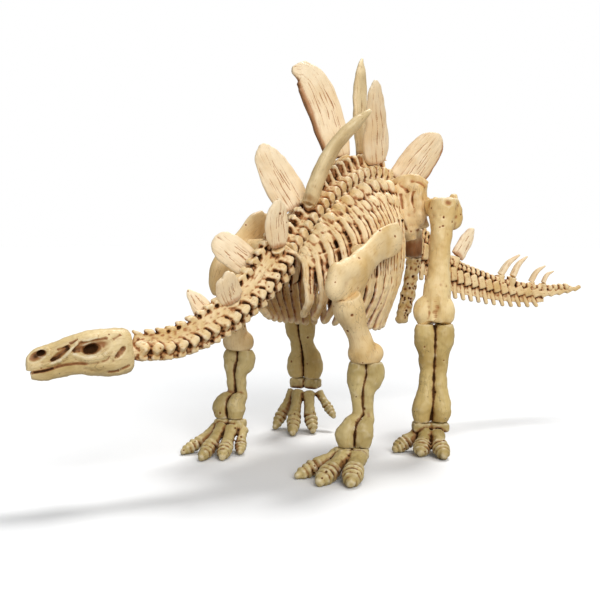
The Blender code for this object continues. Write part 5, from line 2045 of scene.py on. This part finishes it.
def parts() -> list[Part]:
    """Lists every piece of the skeleton, from the head backwards, then the plates and spikes.

    Returns:
        The pieces, not yet built.
    """
    pieces: list[Part] = [
        Skull(), Neck(NECK_ROUTE, 17, PLATES[:4]), Back(BACK_ROUTE, 19, PLATES[4:9]),
        Tail(TAIL_ROUTE, 24, (PLATES[10], *SPIKES)), Pelvis(),
        RibCage(Side.LEFT, PAD_LEFT), RibCage(Side.RIGHT, PAD_RIGHT), Pubis(Side.LEFT), Pubis(Side.RIGHT),
        ShoulderBlade(Side.LEFT, ((21.6, 8.6, 63.8), (22.0, -1.2, 61.2), (22.6, -12.0, 55.6),
                                  (23.0, -19.4, 51.6), (22.8, -22.8, 48.0)), PAD_LEFT,
                      (((23.0, -18.0, 54.6), (2.8, 5.0, 4.2)), ((23.0, -22.2, 53.4), (2.6, 4.2, 4.0)),
                       ((23.0, -23.6, 50.4), (2.6, 3.2, 4.0)), ((23.2, -14.4, 54.2), (2.7, 5.0, 4.6)))),
        ShoulderBlade(Side.RIGHT, ((21.9, 0.4, 68.6), (22.2, -5.8, 64.9), (22.5, -12.8, 58.9),
                                   (22.6, -18.4, 53.0), (22.4, -19.8, 46.6)), PAD_RIGHT,
                      (((22.6, -17.6, 54.0), (2.8, 5.2, 5.0)), ((22.6, -19.6, 50.0), (2.7, 4.4, 4.4)))),
        UpperArm(Side.LEFT, ((23.0, -19.2, 48.6), (23.3, -16.6, 42.0), (23.8, -12.6, 34.0),
                             (24.0, -11.4, 29.0))),
        UpperArm(Side.RIGHT, ((22.6, -16.0, 50.0), (22.4, -14.2, 42.0), (22.2, -13.2, 34.0),
                              (22.2, -12.2, 29.0))),
        TwinBones("forearm_bones_left", "forearm_left", Side.LEFT,
                  forearm_stations((24.0, -11.2), (24.0, -16.4), 7.3), ELBOW, 7.3, DUSKY),
        TwinBones("forearm_bones_right", "forearm_right", Side.RIGHT,
                  forearm_stations((22.2, -11.8), (22.2, -16.6), 9.4), ELBOW, 9.4, DUSKY),
        Thigh(Side.LEFT), Thigh(Side.RIGHT),
        TwinBones("shank_bones_left", "shank_left", Side.LEFT, SHANK_LEFT, KNEE, 8.6, OLIVE),
        TwinBones("shank_bones_right", "shank_right", Side.RIGHT, SHANK_RIGHT, KNEE, 16.4, OLIVE),
        Foot("forefoot_left", (23.6, -17.0), 7.3, 4.6, 3.4, (
            ((20.5, -18.5, 5.2), (18.2, -24.5, 3.1), (15.9, -31.2, 0.9), 2.2),
            ((23.2, -19.5, 5.2), (23.8, -26.0, 3.0), (25.0, -33.4, 1.1), 2.5),
            ((26.2, -18.0, 4.8), (29.0, -23.5, 3.1), (32.2, -29.6, 1.3), 2.7))),
        Foot("forefoot_right", (-21.6, -16.6), 9.4, 4.8, 3.4, (
            ((-25.2, -18.2, 6.6), (-26.2, -25.0, 3.0), (-27.0, -31.5, 0.8), 1.9),
            ((-22.6, -19.0, 6.8), (-20.4, -26.0, 3.1), (-17.0, -33.6, 0.9), 2.1),
            ((-19.6, -18.2, 6.6), (-16.6, -23.6, 3.0), (-13.0, -29.2, 0.9), 2.1),
            ((-17.4, -15.5, 6.4), (-15.2, -18.8, 3.2), (-13.0, -21.6, 0.9), 1.7))),
        Foot("hindfoot_left", (25.9, 20.0), 8.6, 5.4, 3.0, (
            ((23.2, 18.6, 5.4), (21.6, 14.0, 3.2), (19.8, 9.6, 1.0), 2.3),
            ((25.8, 17.6, 5.0), (27.4, 13.2, 3.1), (29.0, 9.4, 1.2), 2.5),
            ((28.8, 19.0, 5.0), (32.0, 15.0, 3.2), (36.1, 10.9, 1.1), 2.4))),
        Foot("hindfoot_right", (-25.6, 24.6), 16.4, 5.2, 3.6, (
            ((-29.2, 22.5, 11.5), (-29.4, 17.5, 5.5), (-28.0, 11.4, 0.9), 2.0),
            ((-26.2, 21.5, 11.5), (-22.6, 15.0, 5.2), (-17.6, 7.8, 0.9), 2.2),
            ((-22.8, 22.8, 11.5), (-19.0, 18.6, 5.4), (-14.4, 14.8, 0.9), 2.1),
            ((-21.0, 26.0, 11.5), (-17.0, 25.0, 8.0), (-12.6, 23.6, 4.6), 1.6))),
    ]
    return [*pieces, *PLATES, *SPIKES]


def main() -> None:
    """Builds the studio and every piece, and logs how many faces each piece has."""
    logging.basicConfig(level=logging.INFO, format="%(message)s")
    Studio().build()
    for part in parts():
        piece = part.build()
        LOG.info("%s: %d faces", piece.name, len(piece.data.polygons))


if __name__ == "__main__":
    main()
